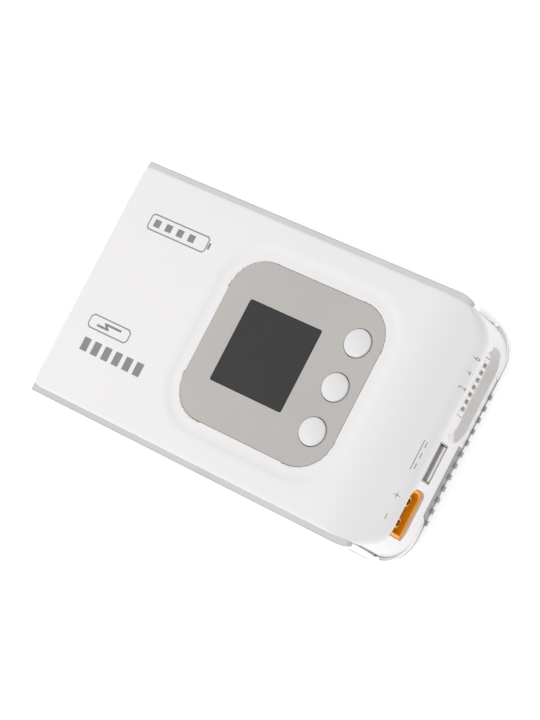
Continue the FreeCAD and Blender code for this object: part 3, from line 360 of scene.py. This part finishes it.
def cad_copy(node: str, name: str) -> Piece:
    """Closed copy of a CAD node with its loose triangles merged into flat faces.

    Args:
        node: The CAD node.
        name: Name of the copy.

    Returns:
        The copy.
    """
    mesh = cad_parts[node].data.copy()
    mesh.name = name
    mesh.materials.clear()
    work = bmesh.new()
    work.from_mesh(mesh)
    bmesh.ops.remove_doubles(work, verts=work.verts, dist=2e-7)
    bmesh.ops.dissolve_limit(work, angle_limit=math.radians(0.3), verts=work.verts,
                             edges=work.edges)
    work.to_mesh(mesh)
    work.free()
    piece = bpy.data.objects.new(name, mesh)
    bpy.context.scene.collection.objects.link(piece)
    return piece


def combine(piece: Piece, tool: Piece, join: Join) -> None:
    """Combine a piece with a tool, which is used up."""
    modifier = piece.modifiers.new("combine", "BOOLEAN")
    modifier.operation = join.value
    modifier.solver = "EXACT"
    modifier.object = tool
    bake_modifiers(piece)
    bpy.data.objects.remove(tool)


def soften(node: str, name: str, width_mm: float, angle: float = 40.0) -> Piece:
    """Copy of a CAD node with its sharp edges rounded.

    Args:
        node: The CAD node.
        name: Name of the finished piece.
        width_mm: Width of the rounding.
        angle: Edges that turn by more than this are rounded.

    Returns:
        The finished piece.
    """
    piece = cad_copy(node, name)
    bevel = piece.modifiers.new("rounding", "BEVEL")
    bevel.width = width_mm * MM
    bevel.segments = 3
    bevel.limit_method = "ANGLE"
    bevel.angle_limit = math.radians(angle)
    bevel.use_clamp_overlap = True
    bake_modifiers(piece)
    shade(piece, 35.0)
    return piece


def lathe(name: str, centre: Vector, profile: list, segments: int) -> Piece:
    """Turn a profile round an upright axis through a point.

    Args:
        name: Name of the piece.
        centre: Point on the axis, in millimetres.
        profile: (radius, height) pairs from one end of the axis to the other.
        segments: Steps round the axis.

    Returns:
        The turned piece.
    """
    points, faces = [], []
    for radius, height in profile:
        for step in range(segments):
            angle = math.tau * step / segments
            flat = Vector((radius * math.cos(angle), radius * math.sin(angle), height))
            points.append(centre + flat)
    for row in range(len(profile) - 1):
        for step in range(segments):
            after = (step + 1) % segments
            faces.append((row * segments + step, row * segments + after,
                          (row + 1) * segments + after, (row + 1) * segments + step))
    if profile[0][0] > 1e-6:
        faces.append(tuple(range(segments - 1, -1, -1)))
    if profile[-1][0] > 1e-6:
        last = (len(profile) - 1) * segments
        faces.append(tuple(range(last, last + segments)))
    return mesh_piece(name, points, faces)


def dress(piece: Piece, finish: Finish, body: str = CASE,
          replaces: tuple[str, ...] = ()) -> Piece:
    """Give a finished piece its material, its body and the CAD nodes that it stands for.

    Args:
        piece: The piece.
        finish: Its finish.
        body: CAD body that it rides on.
        replaces: CAD nodes that it stands for.

    Returns:
        The same piece.
    """
    piece.data.materials.clear()
    piece.data.materials.append(finish.material())
    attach(piece, body)
    if replaces:
        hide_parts(*replaces)
    log.info("%s: %d faces", piece.name, len(piece.data.polygons))
    return piece


def dress_soft(node: str, name: str, width_mm: float, finish: Finish,
               body: str = CASE) -> None:
    """Round a CAD node's edges and dress the result in its place."""
    dress(soften(node, name, width_mm), finish, body, (node,))


@dataclass
class Row:
    """A row of equal pieces, laid out by Geometry Nodes."""

    name: str
    count: int
    start: Vector
    step: Vector

    def tree(self, finish: Finish) -> Tree:
        """Node tree that repeats the piece along the row.

        Args:
            finish: Finish of the repeated piece.

        Returns:
            The tree, with inputs for the count, the start and the step.
        """
        tree = bpy.data.node_groups.new(self.name, "GeometryNodeTree")
        face = tree.interface
        face.new_socket("Piece", in_out="INPUT", socket_type="NodeSocketGeometry")
        face.new_socket("Count", in_out="INPUT", socket_type="NodeSocketInt")
        face.new_socket("Start", in_out="INPUT", socket_type="NodeSocketVector")
        face.new_socket("Step", in_out="INPUT", socket_type="NodeSocketVector")
        face.new_socket("Row", in_out="OUTPUT", socket_type="NodeSocketGeometry")
        given = add(tree, "NodeGroupInput").outputs
        line = add(tree, "GeometryNodeMeshLine", {"Count": given["Count"],
                                                  "Start Location": given["Start"],
                                                  "Offset": given["Step"]})
        copies = add(tree, "GeometryNodeInstanceOnPoints", {"Points": line.outputs["Mesh"],
                                                            "Instance": given["Piece"]})
        real = add(tree, "GeometryNodeRealizeInstances", {"Geometry": copies.outputs["Instances"]})
        coloured = add(tree, "GeometryNodeSetMaterial", {"Geometry": real.outputs["Geometry"],
                                                         "Material": finish.material()})
        add(tree, "NodeGroupOutput", {"Row": coloured.outputs["Geometry"]})
        return tree

    def lay(self, piece: Piece, finish: Finish) -> Piece:
        """Repeat a piece made at the origin and turn the row into plain mesh.

        Args:
            piece: The piece, which becomes the row.
            finish: Its finish.

        Returns:
            The row.
        """
        modifier = piece.modifiers.new("row", "NODES")
        modifier.node_group = self.tree(finish)
        values = {"Count": self.count, "Start": self.start * MM, "Step": self.step * MM}
        for item in modifier.node_group.interface.items_tree:
            if item.in_out == "INPUT" and item.name in values:
                modifier[item.identifier] = values[item.name]
        bake_modifiers(piece)
        return piece


def rounded_bar(name: str, low: Vector, high: Vector, radius: float) -> Piece:
    """Bar between two corners with rounded edges, in millimetres."""
    work = bmesh.new()
    bmesh.ops.create_cube(work, size=1.0)
    size, middle = high - low, (high + low) / 2
    for vertex in work.verts:
        vertex.co = Vector(a * b for a, b in zip(vertex.co, size)) + middle
    bmesh.ops.bevel(work, geom=work.edges[:], offset=radius, segments=2, affect="EDGES",
                    profile=0.5)
    mesh = bpy.data.meshes.new(name)
    bmesh.ops.scale(work, vec=(MM, MM, MM), verts=work.verts)
    work.to_mesh(mesh)
    work.free()
    piece = bpy.data.objects.new(name, mesh)
    bpy.context.scene.collection.objects.link(piece)
    return piece


def node_box(node: str) -> tuple[Vector, Vector]:
    """Lowest and highest corners of a CAD node, in millimetres."""
    low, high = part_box(node)
    return low / MM, high / MM


def smooth(value: float) -> float:
    """Ease from 0 to 1 with level ends."""
    value = min(max(value, 0.0), 1.0)
    return value * value * (3 - 2 * value)


def rounded_distance(x: float, y: float, half_x: float, half_y: float, radius: float) -> float:
    """Signed distance to a rounded rectangle round the origin, negative inside."""
    across, along = abs(x) - half_x + radius, abs(y) - half_y + radius
    outside = math.hypot(max(across, 0.0), max(along, 0.0))
    return outside + min(max(across, along), 0.0) - radius


# ---- sub-assemblies -------------------------------------------------------------------------
@dataclass
class Cover:
    """White top cover: flat top, bent nose, soft dish round the panel and rounded rim."""

    front_corner: float = 11.5
    rear_corner: float = 3.0
    nose_run: float = 20.5
    bend_radius: float = 26.0
    nose_angle: float = 25.0
    side_rim: float = 0.8
    nose_rim: float = 3.0
    dish_depth: float = 0.7
    dish_from: float = 2.9
    dish_to: float = 5.9
    skin: float = 0.08
    cell: float = 1.0
    panel_corner: float = 12.3
    rim_grow_from: float = 10.5
    rim_grow_run: float = 6.5
    fine_reach: float = 3.2
    fine_lines: int = 9
    underside: float = -2.0

    def __post_init__(self) -> None:
        """Read the cover's and the panel's boxes."""
        low, high = node_box("top_cover")
        self.x_rear, self.x_face = low.x + self.skin, high.x - self.skin
        self.half = high.y - self.skin
        self.z_top = high.z - self.skin
        panel_low, panel_high = node_box("control_panel")
        self.panel_x = (panel_low.x + panel_high.x) / 2
        self.panel_half = Vector(((panel_high.x - panel_low.x) / 2, panel_high.y))

    def nose_height(self, x: float) -> float:
        """Height of the top along its middle, before the rim is rounded."""
        start = self.x_face - self.nose_run
        turn = math.radians(self.nose_angle)
        bend_end = start + self.bend_radius * math.sin(turn)
        if x <= start:
            return self.z_top
        if x <= bend_end:
            along = x - start
            return self.z_top - self.bend_radius + math.sqrt(self.bend_radius ** 2 - along ** 2)
        bend_drop = self.bend_radius * (1 - math.cos(turn))
        return self.z_top - bend_drop - (x - bend_end) * math.tan(turn)

    def half_width(self, x: float) -> float:
        """Half of the cover's width at x, narrower within the plan corners."""
        radius = self.front_corner if x > 0 else self.rear_corner
        end = self.x_face - x if x > 0 else x - self.x_rear
        if end >= radius:
            return self.half
        return self.half - radius + math.sqrt(max(radius ** 2 - (radius - end) ** 2, 0.0))

    def edge_distance(self, x: float, y: float) -> float:
        """Distance from a plan point inwards from the outline."""
        middle = (self.x_face + self.x_rear) / 2
        radius = self.front_corner if x > 0 else self.rear_corner
        half_x = (self.x_face - self.x_rear) / 2
        return -rounded_distance(x - middle, y, half_x, self.half, radius)

    def height(self, x: float, y: float) -> float:
        """Height of the finished surface over a plan point."""
        grow = smooth((x - (self.x_face - self.rim_grow_from)) / self.rim_grow_run)
        rim = self.side_rim + (self.nose_rim - self.side_rim) * grow
        inside = max(self.edge_distance(x, y), 0.0)
        drop = rim - math.sqrt(rim ** 2 - (rim - inside) ** 2) if inside < rim else 0.0
        beside = rounded_distance(x - self.panel_x, y, self.panel_half.x, self.panel_half.y,
                                  self.panel_corner)
        dish = self.dish_depth * (1 - smooth((beside - self.dish_from)
                                             / (self.dish_to - self.dish_from)))
        return self.nose_height(x) - drop - dish

    def lines(self, length: float, reach: float) -> list[float]:
        """Distances from one end to the other, closer together in the rims."""
        fine = [reach * (1 - math.cos(math.pi / 2 * step / self.fine_lines))
                for step in range(self.fine_lines)]
        count = max(int((length - 2 * reach) / self.cell), 1)
        middle = [reach + (length - 2 * reach) * step / count for step in range(count + 1)]
        return fine + middle + [length - value for value in reversed(fine)]

    def envelope(self) -> Piece:
        """Closed body whose top is the finished surface and which reaches below the cover."""
        reach = self.fine_reach
        columns = [self.x_rear + value for value in self.lines(self.x_face - self.x_rear, reach)]
        unit = self.lines(2 * self.half, reach)
        rows = len(unit)
        points, faces = [], []
        for x in columns:
            half = self.half_width(x)
            for value in unit:
                edge = min(value, 2 * self.half - value)
                if edge <= reach:
                    y = half - edge
                else:
                    y = (half - reach) * (self.half - edge) / (self.half - reach)
                y = -y if value < self.half else y
                points.append((x, y, self.height(x, y)))
        for column in range(len(columns) - 1):
            for row in range(rows - 1):
                corner = column * rows + row
                faces.append((corner, corner + rows, corner + rows + 1, corner + 1))
        last = (len(columns) - 1) * rows
        loop = list(range(0, rows - 1)) + [rows - 1 + rows * n for n in range(len(columns) - 1)]
        loop += list(range(last + rows - 1, last, -1))
        loop += [rows * n for n in range(len(columns) - 1, 0, -1)]
        base = len(points)
        points += [(points[corner][0], points[corner][1], self.underside) for corner in loop]
        for index, corner in enumerate(loop):
            after = (index + 1) % len(loop)
            faces.append((corner, loop[after], base + after, base + index))
        faces.append(tuple(range(base, base + len(loop))))
        return mesh_piece("cover_envelope", points, faces)

    def build(self) -> None:
        """Trim the CAD cover to the finished surface."""
        cover = self.envelope()
        cover.name = "charger_cover"
        combine(cover, cad_copy("top_cover", "cover_cad"), Join.COMMON)
        shade(cover, 20.0)
        dress(cover, COVER_WHITE, CASE, ("top_cover",))


@dataclass
class Marks:
    """Generic printed signs on the cover: battery, bolt, cells, polarity and cell numbers."""

    cover: Cover
    line: float = 0.45
    print_height: float = 0.012
    print_depth: float = 0.04
    step: float = 0.8
    cell_pitch: float = 2.5
    number_x: float = 69.2
    number_size: float = 2.2
    number_aside: float = 0.6
    points: list = field(default_factory=list)
    faces: list = field(default_factory=list)

    def on_cover(self, x: float, y: float, depth: float = 0.0) -> tuple[float, float, float]:
        """Point on the cover's surface, or below it by the depth."""
        return x, y, self.cover.height(x, y) + self.print_height - depth

    def stroke(self, path: list[tuple[float, float]], width: float, closed: bool = False) -> None:
        """Lay a printed line along a path.

        Args:
            path: Plan points in millimetres.
            width: Width of the line.
            closed: Whether the path returns to its start.
        """
        route = [Vector(point) for point in path]
        ends = route + route[:1] if closed else route
        samples = []
        for start, end in zip(ends, ends[1:]):
            count = max(math.ceil((end - start).length / self.step), 1)
            samples += [start.lerp(end, index / count) for index in range(count)]
        if not closed:
            samples.append(route[-1])
        total, base = len(samples), len(self.points)
        for index, point in enumerate(samples):
            after = samples[(index + 1) % total] if closed or index < total - 1 else point
            before = samples[index - 1] if closed or index else point
            into, out = (point - before), (after - point)
            into = into.normalized() if into.length else out.normalized()
            out = out.normalized() if out.length else into
            along = (into + out).normalized()
            mitre = width / 2 / max(along.dot(out), 0.5)
            aside = Vector((-along.y, along.x)) * mitre
            for corner, depth in ((aside, 0), (-aside, 0), (-aside, self.print_depth),
                                  (aside, self.print_depth)):
                self.points.append(self.on_cover(point.x + corner.x, point.y + corner.y, depth))
        for index in range(total if closed else total - 1):
            here, there = base + 4 * index, base + 4 * ((index + 1) % total)
            for side in range(4):
                after = (side + 1) % 4
                self.faces.append((here + side, here + after, there + after, there + side))
        if not closed:
            last = base + 4 * (total - 1)
            self.faces += [(base, base + 1, base + 2, base + 3),
                           (last, last + 1, last + 2, last + 3)]

    def frame(self, x0: float, x1: float, y0: float, y1: float, cut: float) -> None:
        """Closed outline with its corners cut off."""
        self.stroke([(x0 + cut, y0), (x1 - cut, y0), (x1, y0 + cut), (x1, y1 - cut),
                     (x1 - cut, y1), (x0 + cut, y1), (x0, y1 - cut), (x0, y0 + cut)],
                    self.line, True)

    def signs(self) -> None:
        """Battery sign, framed bolt, row of cells, and the signs beside the sockets."""
        self.frame(-58.0, -33.5, 21.6, 27.0, 0.8)
        self.stroke([(-32.6, 23.2), (-32.6, 25.4)], 0.9)
        for x in (-54.8, -49.9, -45.0, -40.1):
            self.stroke([(x, 23.0), (x, 25.6)], 2.6)
        self.frame(-61.0, -44.0, -16.0, -11.4, 1.0)
        self.stroke([(-57.5, -14.4), (-52.8, -14.4), (-54.4, -13.0), (-47.6, -13.0)], 0.8)
        for index in range(6):
            x = -58.0 + 4.6 * index
            self.stroke([(x, -24.0), (x, -19.4)], 2.9)
        self.stroke([(66.3, -12.6), (66.3, -2.6)], self.line / 2)
        for y in (-12.0, -8.4, -4.8):
            self.stroke([(67.2, y), (67.2, y + 1.9)], self.line / 2)
        for y in (-28.6, -21.4):
            self.stroke([(66.3, y - 0.9), (66.3, y + 0.9)], self.line / 2)
        self.stroke([(65.4, -21.4), (67.2, -21.4)], self.line / 2)

    def numbers(self) -> None:
        """Cell numbers above the balance socket."""
        low, high = node_box("balance_header")
        middle = (low.y + high.y) / 2
        for number in (2, 4, 6):
            curve = bpy.data.curves.new("number_%d" % number, "FONT")
            curve.body = str(number)
            curve.size = self.number_size * MM
            curve.extrude = self.print_depth * MM / 2
            source = bpy.data.objects.new(curve.name, curve)
            mesh = bpy.data.meshes.new_from_object(source)
            bpy.data.objects.remove(source)
            bpy.data.curves.remove(curve)
            y = middle + self.cell_pitch * (number - 3) - self.number_aside
            for vertex in mesh.vertices:
                over = vertex.co / MM
                place = self.on_cover(self.number_x - over.y, y + over.x, self.print_depth / 2)
                vertex.co = (Vector(place) + Vector((0, 0, over.z))) * MM
            digit = bpy.data.objects.new("cell_number_%d" % number, mesh)
            bpy.context.scene.collection.objects.link(digit)
            dress(digit, INK_GREY)

    def build(self) -> None:
        """Print the signs and the numbers."""
        self.signs()
        print_layer = mesh_piece("cover_signs", self.points, self.faces)
        dress(print_layer, INK_GREY)
        self.numbers()


@dataclass
class TrimStrip:
    """Half-round plated strip along one side, down the step and round the front corner."""

    side: int
    node: str
    outer_corner: float = 13.7
    cover_corner: float = 11.5
    proud: float = 2.2
    seat: float = 0.95
    high_half: float = 1.4
    low_half: float = 0.8
    below_top: float = 2.9
    above_base: float = 1.8
    riser_from_face: float = 8.5
    step_radius: float = 5.0
    end_y: float = 25.5
    least_proud: float = 0.12
    squareness: float = 2.8
    side_steps: int = 40
    bend_steps: int = 12
    arc_steps: int = 16

    def __post_init__(self) -> None:
        """Read the boxes that the strip follows."""
        low, high = node_box(self.node)
        self.x_rear, self.x_face = low.x + 0.05, high.x
        self.half = max(abs(low.y), abs(high.y))
        self.z_high = node_box("top_cover")[1].z - self.below_top
        self.z_low = node_box("bottom_shell")[0].z + self.above_base

    def plan(self, x: float) -> tuple[Vector, Vector, float]:
        """Outer plan point, its outward direction and how far the strip stands out there."""
        centre_x = self.x_face - self.outer_corner
        if x <= centre_x:
            return Vector((x, self.half, 0)), Vector((0, 1, 0)), self.proud
        return self.corner(math.acos(min((x - centre_x) / self.outer_corner, 1.0)))

    def corner(self, angle: float) -> tuple[Vector, Vector, float]:
        """The same for an angle round the plan corner, 90 degrees at the side."""
        outward = Vector((math.cos(angle), math.sin(angle), 0))
        centre = Vector((self.x_face - self.outer_corner, self.half - self.outer_corner, 0))
        point = centre + outward * self.outer_corner
        shift = self.outer_corner - self.cover_corner
        flat = self.cover_corner / max(outward.y, 1e-6)
        if flat * outward.x >= shift:
            flat = shift * outward.x + math.sqrt(self.cover_corner ** 2 - (shift * outward.y) ** 2)
        return point, outward, max(self.outer_corner - flat, self.least_proud)

    def path(self) -> list[tuple[Vector, Vector, float, float]]:
        """Points along the strip: place, outward direction, stand-out and half height."""
        riser, r = self.x_face - self.riser_from_face, self.step_radius
        route = []
        bends = self.bend_steps
        for step in range(self.side_steps):
            x = self.x_rear + (riser - r - self.x_rear) * step / self.side_steps
            route.append((x, self.z_high, self.high_half))
        for step in range(bends + 1):
            angle = math.pi / 2 * step / bends
            route.append((riser - r + r * math.sin(angle), self.z_high - r + r * math.cos(angle),
                          self.high_half))
        fall = self.z_high - self.z_low - 2 * r
        for step in range(1, 8):
            route.append((riser, self.z_high - r - fall * step / 8, self.high_half))
        for step in range(bends + 1):
            angle = math.pi / 2 * step / bends
            route.append((riser + r - r * math.cos(angle), self.z_low + r - r * math.sin(angle),
                          self.high_half + (self.low_half - self.high_half) * step / bends))
        found = []
        for x, z, half in route:
            point, outward, proud = self.plan(x)
            found.append((point + Vector((0, 0, z)), outward, proud, half))
        start = math.acos((riser + r - self.x_face + self.outer_corner) / self.outer_corner)
        for step in range(1, bends + 1):
            point, outward, proud = self.corner(start * (1 - step / bends))
            found.append((point + Vector((0, 0, self.z_low)), outward, proud, self.low_half))
        y_turn = self.half - self.outer_corner
        for share in (0.33, 0.66, 1.0):
            y = y_turn + (self.end_y - y_turn) * share
            found.append((Vector((self.x_face, y, self.z_low)), Vector((1, 0, 0)),
                          self.least_proud, self.low_half * (1.05 - 0.35 * share)))
        return found

    def build(self) -> None:
        """Sweep the half-round section along the path."""
        path = self.path()
        arc = [math.radians(90 - 180 * step / self.arc_steps)
               for step in range(self.arc_steps + 1)]
        power = 2 / self.squareness
        curve = [(math.cos(angle) ** power if math.cos(angle) > 1e-9 else 0.0,
                  math.copysign(abs(math.sin(angle)) ** power, math.sin(angle))) for angle in arc]
        edges = [point - outward * proud for point, outward, proud, _ in path]
        points, faces = [], []
        for index, (_, outward, proud, half) in enumerate(path):
            ahead = edges[min(index + 1, len(edges) - 1)] - edges[max(index - 1, 0)]
            across = ahead.normalized().cross(outward).normalized()
            section = [(-self.seat, -half), (-self.seat, half)]
            section += [(proud * out, half * up) for out, up in curve]
            for out, up in section:
                place = edges[index] + outward * out + across * up
                points.append((place.x, place.y * self.side, place.z))
        ring = 2 + len(arc)
        for index in range(len(path) - 1):
            for step in range(ring):
                after = (step + 1) % ring
                faces.append((index * ring + step, index * ring + after,
                              (index + 1) * ring + after, (index + 1) * ring + step))
        faces.append(tuple(range(ring)))
        faces.append(tuple(range((len(path) - 1) * ring, len(path) * ring)))
        strip = mesh_piece("trim_" + ("balance" if self.side > 0 else "output") + "_side",
                           points, faces)
        shade(strip, 40.0)
        dress(strip, TRIM_SILVER, CASE, (self.node,))


@dataclass
class Shell:
    """Textured grey tray, its feet and its screws."""

    def build(self) -> None:
        """Dress the tray and what is fastened to its underside."""
        shell = cad_copy("bottom_shell", "charger_shell")
        shade(shell, 30.0)
        dress(shell, SHELL_GREY, CASE, ("bottom_shell",))
        dress_soft("rubber_feet", "feet", 0.3, FOOT_RUBBER)
        dress_soft("case_screws", "underside_screws", 0.15, SCREW_STEEL)


@dataclass
class ControlPanel:
    """Satin grey panel with the smoked window and the three domed keys."""

    keys: int = 3
    edge_round: float = 0.5
    straight_rim: float = 0.15
    cap_radius: float = 4.65
    stem_radius: float = 2.0
    flange_thick: float = 0.8
    flange_below: float = 0.3
    shoulder_share: float = 0.78

    def key(self, number: int) -> None:
        """One key: flange below the panel, short rim, rounded shoulder and shallow crown.

        Args:
            number: Number of the key, from 1.
        """
        low, high = node_box("button_%d" % number)
        centre = Vector(((low.x + high.x) / 2, (low.y + high.y) / 2, 0))
        panel_top = node_box("control_panel")[1].z
        radius, stem = self.cap_radius, self.stem_radius
        flange = (high.x - low.x) / 2
        flange_top = node_box("control_panel")[0].z - self.flange_below
        flange_low = flange_top - self.flange_thick
        shoulder = panel_top + self.straight_rim
        profile = [(0.0, low.z), (stem, low.z), (stem, flange_low), (flange, flange_low),
                   (flange, flange_top), (radius, flange_top), (radius, shoulder)]
        for step in range(1, 7):
            angle = math.pi / 2 * step / 6 * self.shoulder_share
            profile.append((radius - self.edge_round * (1 - math.cos(angle)),
                            shoulder + self.edge_round * math.sin(angle)))
        rim_radius, rim_height = profile[-1]
        rise = high.z - rim_height
        for step in range(1, 15):
            share = step / 14
            profile.append((rim_radius * (1 - share), rim_height + rise * (1 - (1 - share) ** 2)))
        cap = lathe("key_%d_cap" % number, centre, profile, 72)
        shade(cap, 30.0)
        dress(cap, KEY_WHITE, "key_%d" % number, ("button_%d" % number,))

    def build(self) -> None:
        """Dress the panel, the window and the keys."""
        dress_soft("control_panel", "panel", 0.25, PANEL_GREY)
        dress_soft("display_window", "window", 0.2, WINDOW_DARK)
        for number in range(1, self.keys + 1):
            self.key(number)


@dataclass
class SocketEnd:
    """Output, USB and balance sockets on the upright face."""

    cells: int = 7
    cell_pitch: float = 2.5
    cell_size: Vector = field(default_factory=lambda: Vector((7.0, 1.4, 2.6)))
    pin: float = 0.64
    usb_strips: int = 4
    usb_pitch: float = 2.3

    def header(self) -> None:
        """White body of the balance socket, with one pit for each cell."""
        low, high = node_box("balance_header")
        body = rounded_bar("balance_block", low, high, 0.2)
        half = self.cell_size / 2
        pit = rounded_bar("cell_pits", -half, half, 0.08)
        middle = (low + high) / 2
        first = Vector((high.x - half.x + 0.5, middle.y - self.cell_pitch * (self.cells - 1) / 2,
                        middle.z))
        row = Row("cell_row", self.cells, first, Vector((0, self.cell_pitch, 0)))
        combine(body, row.lay(pit, HEADER_WHITE), Join.CUT)
        shade(body, 35.0)
        dress(body, HEADER_WHITE, CASE, ("balance_header",))

    def balance_row(self) -> None:
        """Square balance pins with pointed ends, one for each cell."""
        low, high = node_box("balance_pins")
        half = self.pin / 2
        length = high.x - low.x
        points = [(0, -half, -half), (0, half, -half), (0, half, half), (0, -half, half),
                  (length - 0.5, -half, -half), (length - 0.5, half, -half),
                  (length - 0.5, half, half), (length - 0.5, -half, half),
                  (length, -0.12, -0.12), (length, 0.12, -0.12), (length, 0.12, 0.12),
                  (length, -0.12, 0.12)]
        faces = [(0, 1, 2, 3), (8, 9, 10, 11)]
        for ring in (0, 4):
            for step in range(4):
                after = (step + 1) % 4
                faces.append((ring + step, ring + after, ring + 4 + after, ring + 4 + step))
        pin = mesh_piece("balance_contacts", points, faces)
        middle = (low + high) / 2
        first = middle.y - self.cell_pitch * (self.cells - 1) / 2
        row = Row("balance_contact_row", self.cells, Vector((low.x, first, middle.z)),
                  Vector((0, self.cell_pitch, 0)))
        dress(row.lay(pin, CONTACT_GOLD), CONTACT_GOLD, CASE, ("balance_pins",))

    def usb_row(self) -> None:
        """Sprung contact strips on the tongue."""
        low, high = node_box("usb_contacts")
        half = (high.y - low.y - self.usb_pitch * (self.usb_strips - 1)) / 2
        strip = rounded_bar("usb_strips", Vector((0, -half, 0)),
                            Vector((high.x - low.x, half, high.z - low.z)), 0.08)
        row = Row("usb_strip_row", self.usb_strips, Vector((low.x, low.y + half, low.z)),
                  Vector((0, self.usb_pitch, 0)))
        dress(row.lay(strip, CONTACT_GOLD), CONTACT_GOLD, CASE, ("usb_contacts",))

    def build(self) -> None:
        """Build and dress the three sockets."""
        dress_soft("output_housing", "output_shroud", 0.22, HOUSING_ORANGE)
        dress_soft("output_contacts", "output_bullets", 0.15, CONTACT_GOLD)
        dress_soft("usb_shell", "usb_sleeve", 0.1, SOCKET_STEEL)
        # The ledge's darker grey is partly painted shade in the balance pocket.
        dress_soft("balance_bezel", "pocket_ledge", 0.1, LEDGE_GREY_AND_SHADE)
        # The tongue's pale grey is partly painted light on a part that sits in shade inside the
        # socket.
        dress_soft("usb_tongue", "usb_blade", 0.12, TONGUE_GREY_PAINTED_LIGHT)
        self.header()
        self.balance_row()
        self.usb_row()


@dataclass
class RearEnd:
    """Mains inlet in the rear end, and the fan over the grille underneath."""

    def build(self) -> None:
        """Dress the inlet and the fan."""
        dress_soft("inlet_housing", "mains_inlet", 0.35, MOULDING_BLACK)
        dress_soft("fan_frame", "fan_surround", 0.25, MOULDING_BLACK)
        dress_soft("fan_rotor", "fan_wheel", 0.12, MOULDING_BLACK, "fan")


@dataclass
class Inside:
    """CAD nodes whose shape is right: they only get their finish."""

    def build(self) -> None:
        """Put each node's finish on it."""
        for node, finish in CAD_FINISHES.items():
            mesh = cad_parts[node].data
            mesh.materials.clear()
            mesh.materials.append(finish.material())
            log.info("%s: %s", node, finish.name)


@dataclass
class Studio:
    """Pale floor, soft light and the camera."""

    eye: Vector = field(default_factory=lambda: Vector((382.8, -52.2, 628.7)))
    aim: Vector = field(default_factory=lambda: Vector((2.33, -0.8, 0.0)))
    roll: float = -56.08
    lens: float = 116.96
    sensor: float = 36.0
    sky: float = 0.66
    mirrored_sky: float = 0.84
    horizon: str = "dcdcde"
    zenith: str = "ffffff"

    def camera(self) -> None:
        """Camera placed from the middle of the display window."""
        low, high = node_box("display_window")
        middle = Vector(((low.x + high.x) / 2, (low.y + high.y) / 2, high.z))
        eye = (middle + self.eye) * MM
        ahead = ((middle + self.aim) * MM - eye).normalized()
        right = ahead.cross(Vector((0, 0, 1))).normalized()
        up = right.cross(ahead)
        turn = math.radians(self.roll)
        rolled = right * math.cos(turn) + up * math.sin(turn)
        rolled_up = rolled.cross(ahead)
        pose = Matrix((rolled, rolled_up, -ahead)).transposed().to_4x4()
        pose.translation = eye
        data = bpy.data.cameras.new("camera")
        data.sensor_width = self.sensor
        data.lens = self.lens
        data.clip_start = 0.01
        camera = bpy.data.objects.new("camera", data)
        camera.matrix_world = pose
        bpy.context.scene.collection.objects.link(camera)
        bpy.context.scene.camera = camera

    def light(self, name: str, place: tuple, size: float, power: float) -> None:
        """Square soft light aimed at the charger.

        Args:
            name: Name of the light.
            place: Position in metres.
            size: Side of the square, in metres.
            power: Power in watts.
        """
        data = bpy.data.lights.new(name, "AREA")
        data.size = size
        data.energy = power
        lamp = bpy.data.objects.new(name, data)
        lamp.location = place
        lamp.rotation_euler = Vector(place).to_track_quat("Z", "Y").to_euler()
        lamp.visible_glossy = False
        bpy.context.scene.collection.objects.link(lamp)

    def floor(self) -> None:
        """Large pale floor with a very fine unevenness."""
        reach = 2500.0
        floor = mesh_piece("floor", [(-reach, -reach, 0), (reach, -reach, 0), (reach, reach, 0),
                                     (-reach, reach, 0)], [(0, 1, 2, 3)])
        paper = Finish("studio_paper", "fdfdfd", "fbfbfb", 0.9, 400.0, 5.0, 0.01,
                       {"Emission Color": linear("ffffff"), "Emission Strength": 0.45})
        floor.data.materials.append(paper.material())

    def build(self) -> None:
        """Set up floor, world, lights and camera."""
        self.floor()
        world = bpy.data.worlds.new("studio")
        world.use_nodes = True
        tree = world.node_tree
        direction = add(tree, "ShaderNodeTexCoord").outputs["Generated"]
        height = add(tree, "ShaderNodeSeparateXYZ", {"Vector": direction}).outputs["Z"]
        fade = add(tree, "ShaderNodeMapRange", {"Value": height, "From Min": 0.0, "From Max": 0.75},
                   interpolation_type="SMOOTHSTEP")
        sky = add(tree, "ShaderNodeMix", {0: fade.outputs["Result"], 6: linear(self.horizon),
                                          7: linear(self.zenith)}, data_type="RGBA")
        tree.links.new(sky.outputs[2], tree.nodes["Background"].inputs["Color"])
        mirrored = add(tree, "ShaderNodeLightPath").outputs["Is Glossy Ray"]
        strength = add(tree, "ShaderNodeMapRange", {"Value": mirrored, "To Min": self.sky,
                                                    "To Max": self.mirrored_sky})
        tree.links.new(strength.outputs["Result"], tree.nodes["Background"].inputs["Strength"])
        bpy.context.scene.world = world
        bpy.context.scene.view_settings.view_transform = "Standard"
        self.light("overhead", (-0.3, -0.45, 0.75), 0.5, 3.4)
        self.light("rear_fill", (-0.7, 0.1, 0.5), 0.4, 0.5)
        self.light("socket_fill", (0.7, -0.1, 0.45), 0.3, 0.2)
        self.camera()


def main() -> None:
    """Build every sub-assembly in turn."""
    logging.basicConfig(level=logging.INFO, format="%(name)s %(message)s")
    cover = Cover()
    assemblies = [Studio(), Inside(), Shell(), cover, Marks(cover),
                  TrimStrip(-1, "trim_strip_output_side"),
                  TrimStrip(1, "trim_strip_balance_side"),
                  ControlPanel(), SocketEnd(), RearEnd()]
    for assembly in assemblies:
        assembly.build()
        log.info("%s done", type(assembly).__name__)


if __name__ == "__main__":
    main()
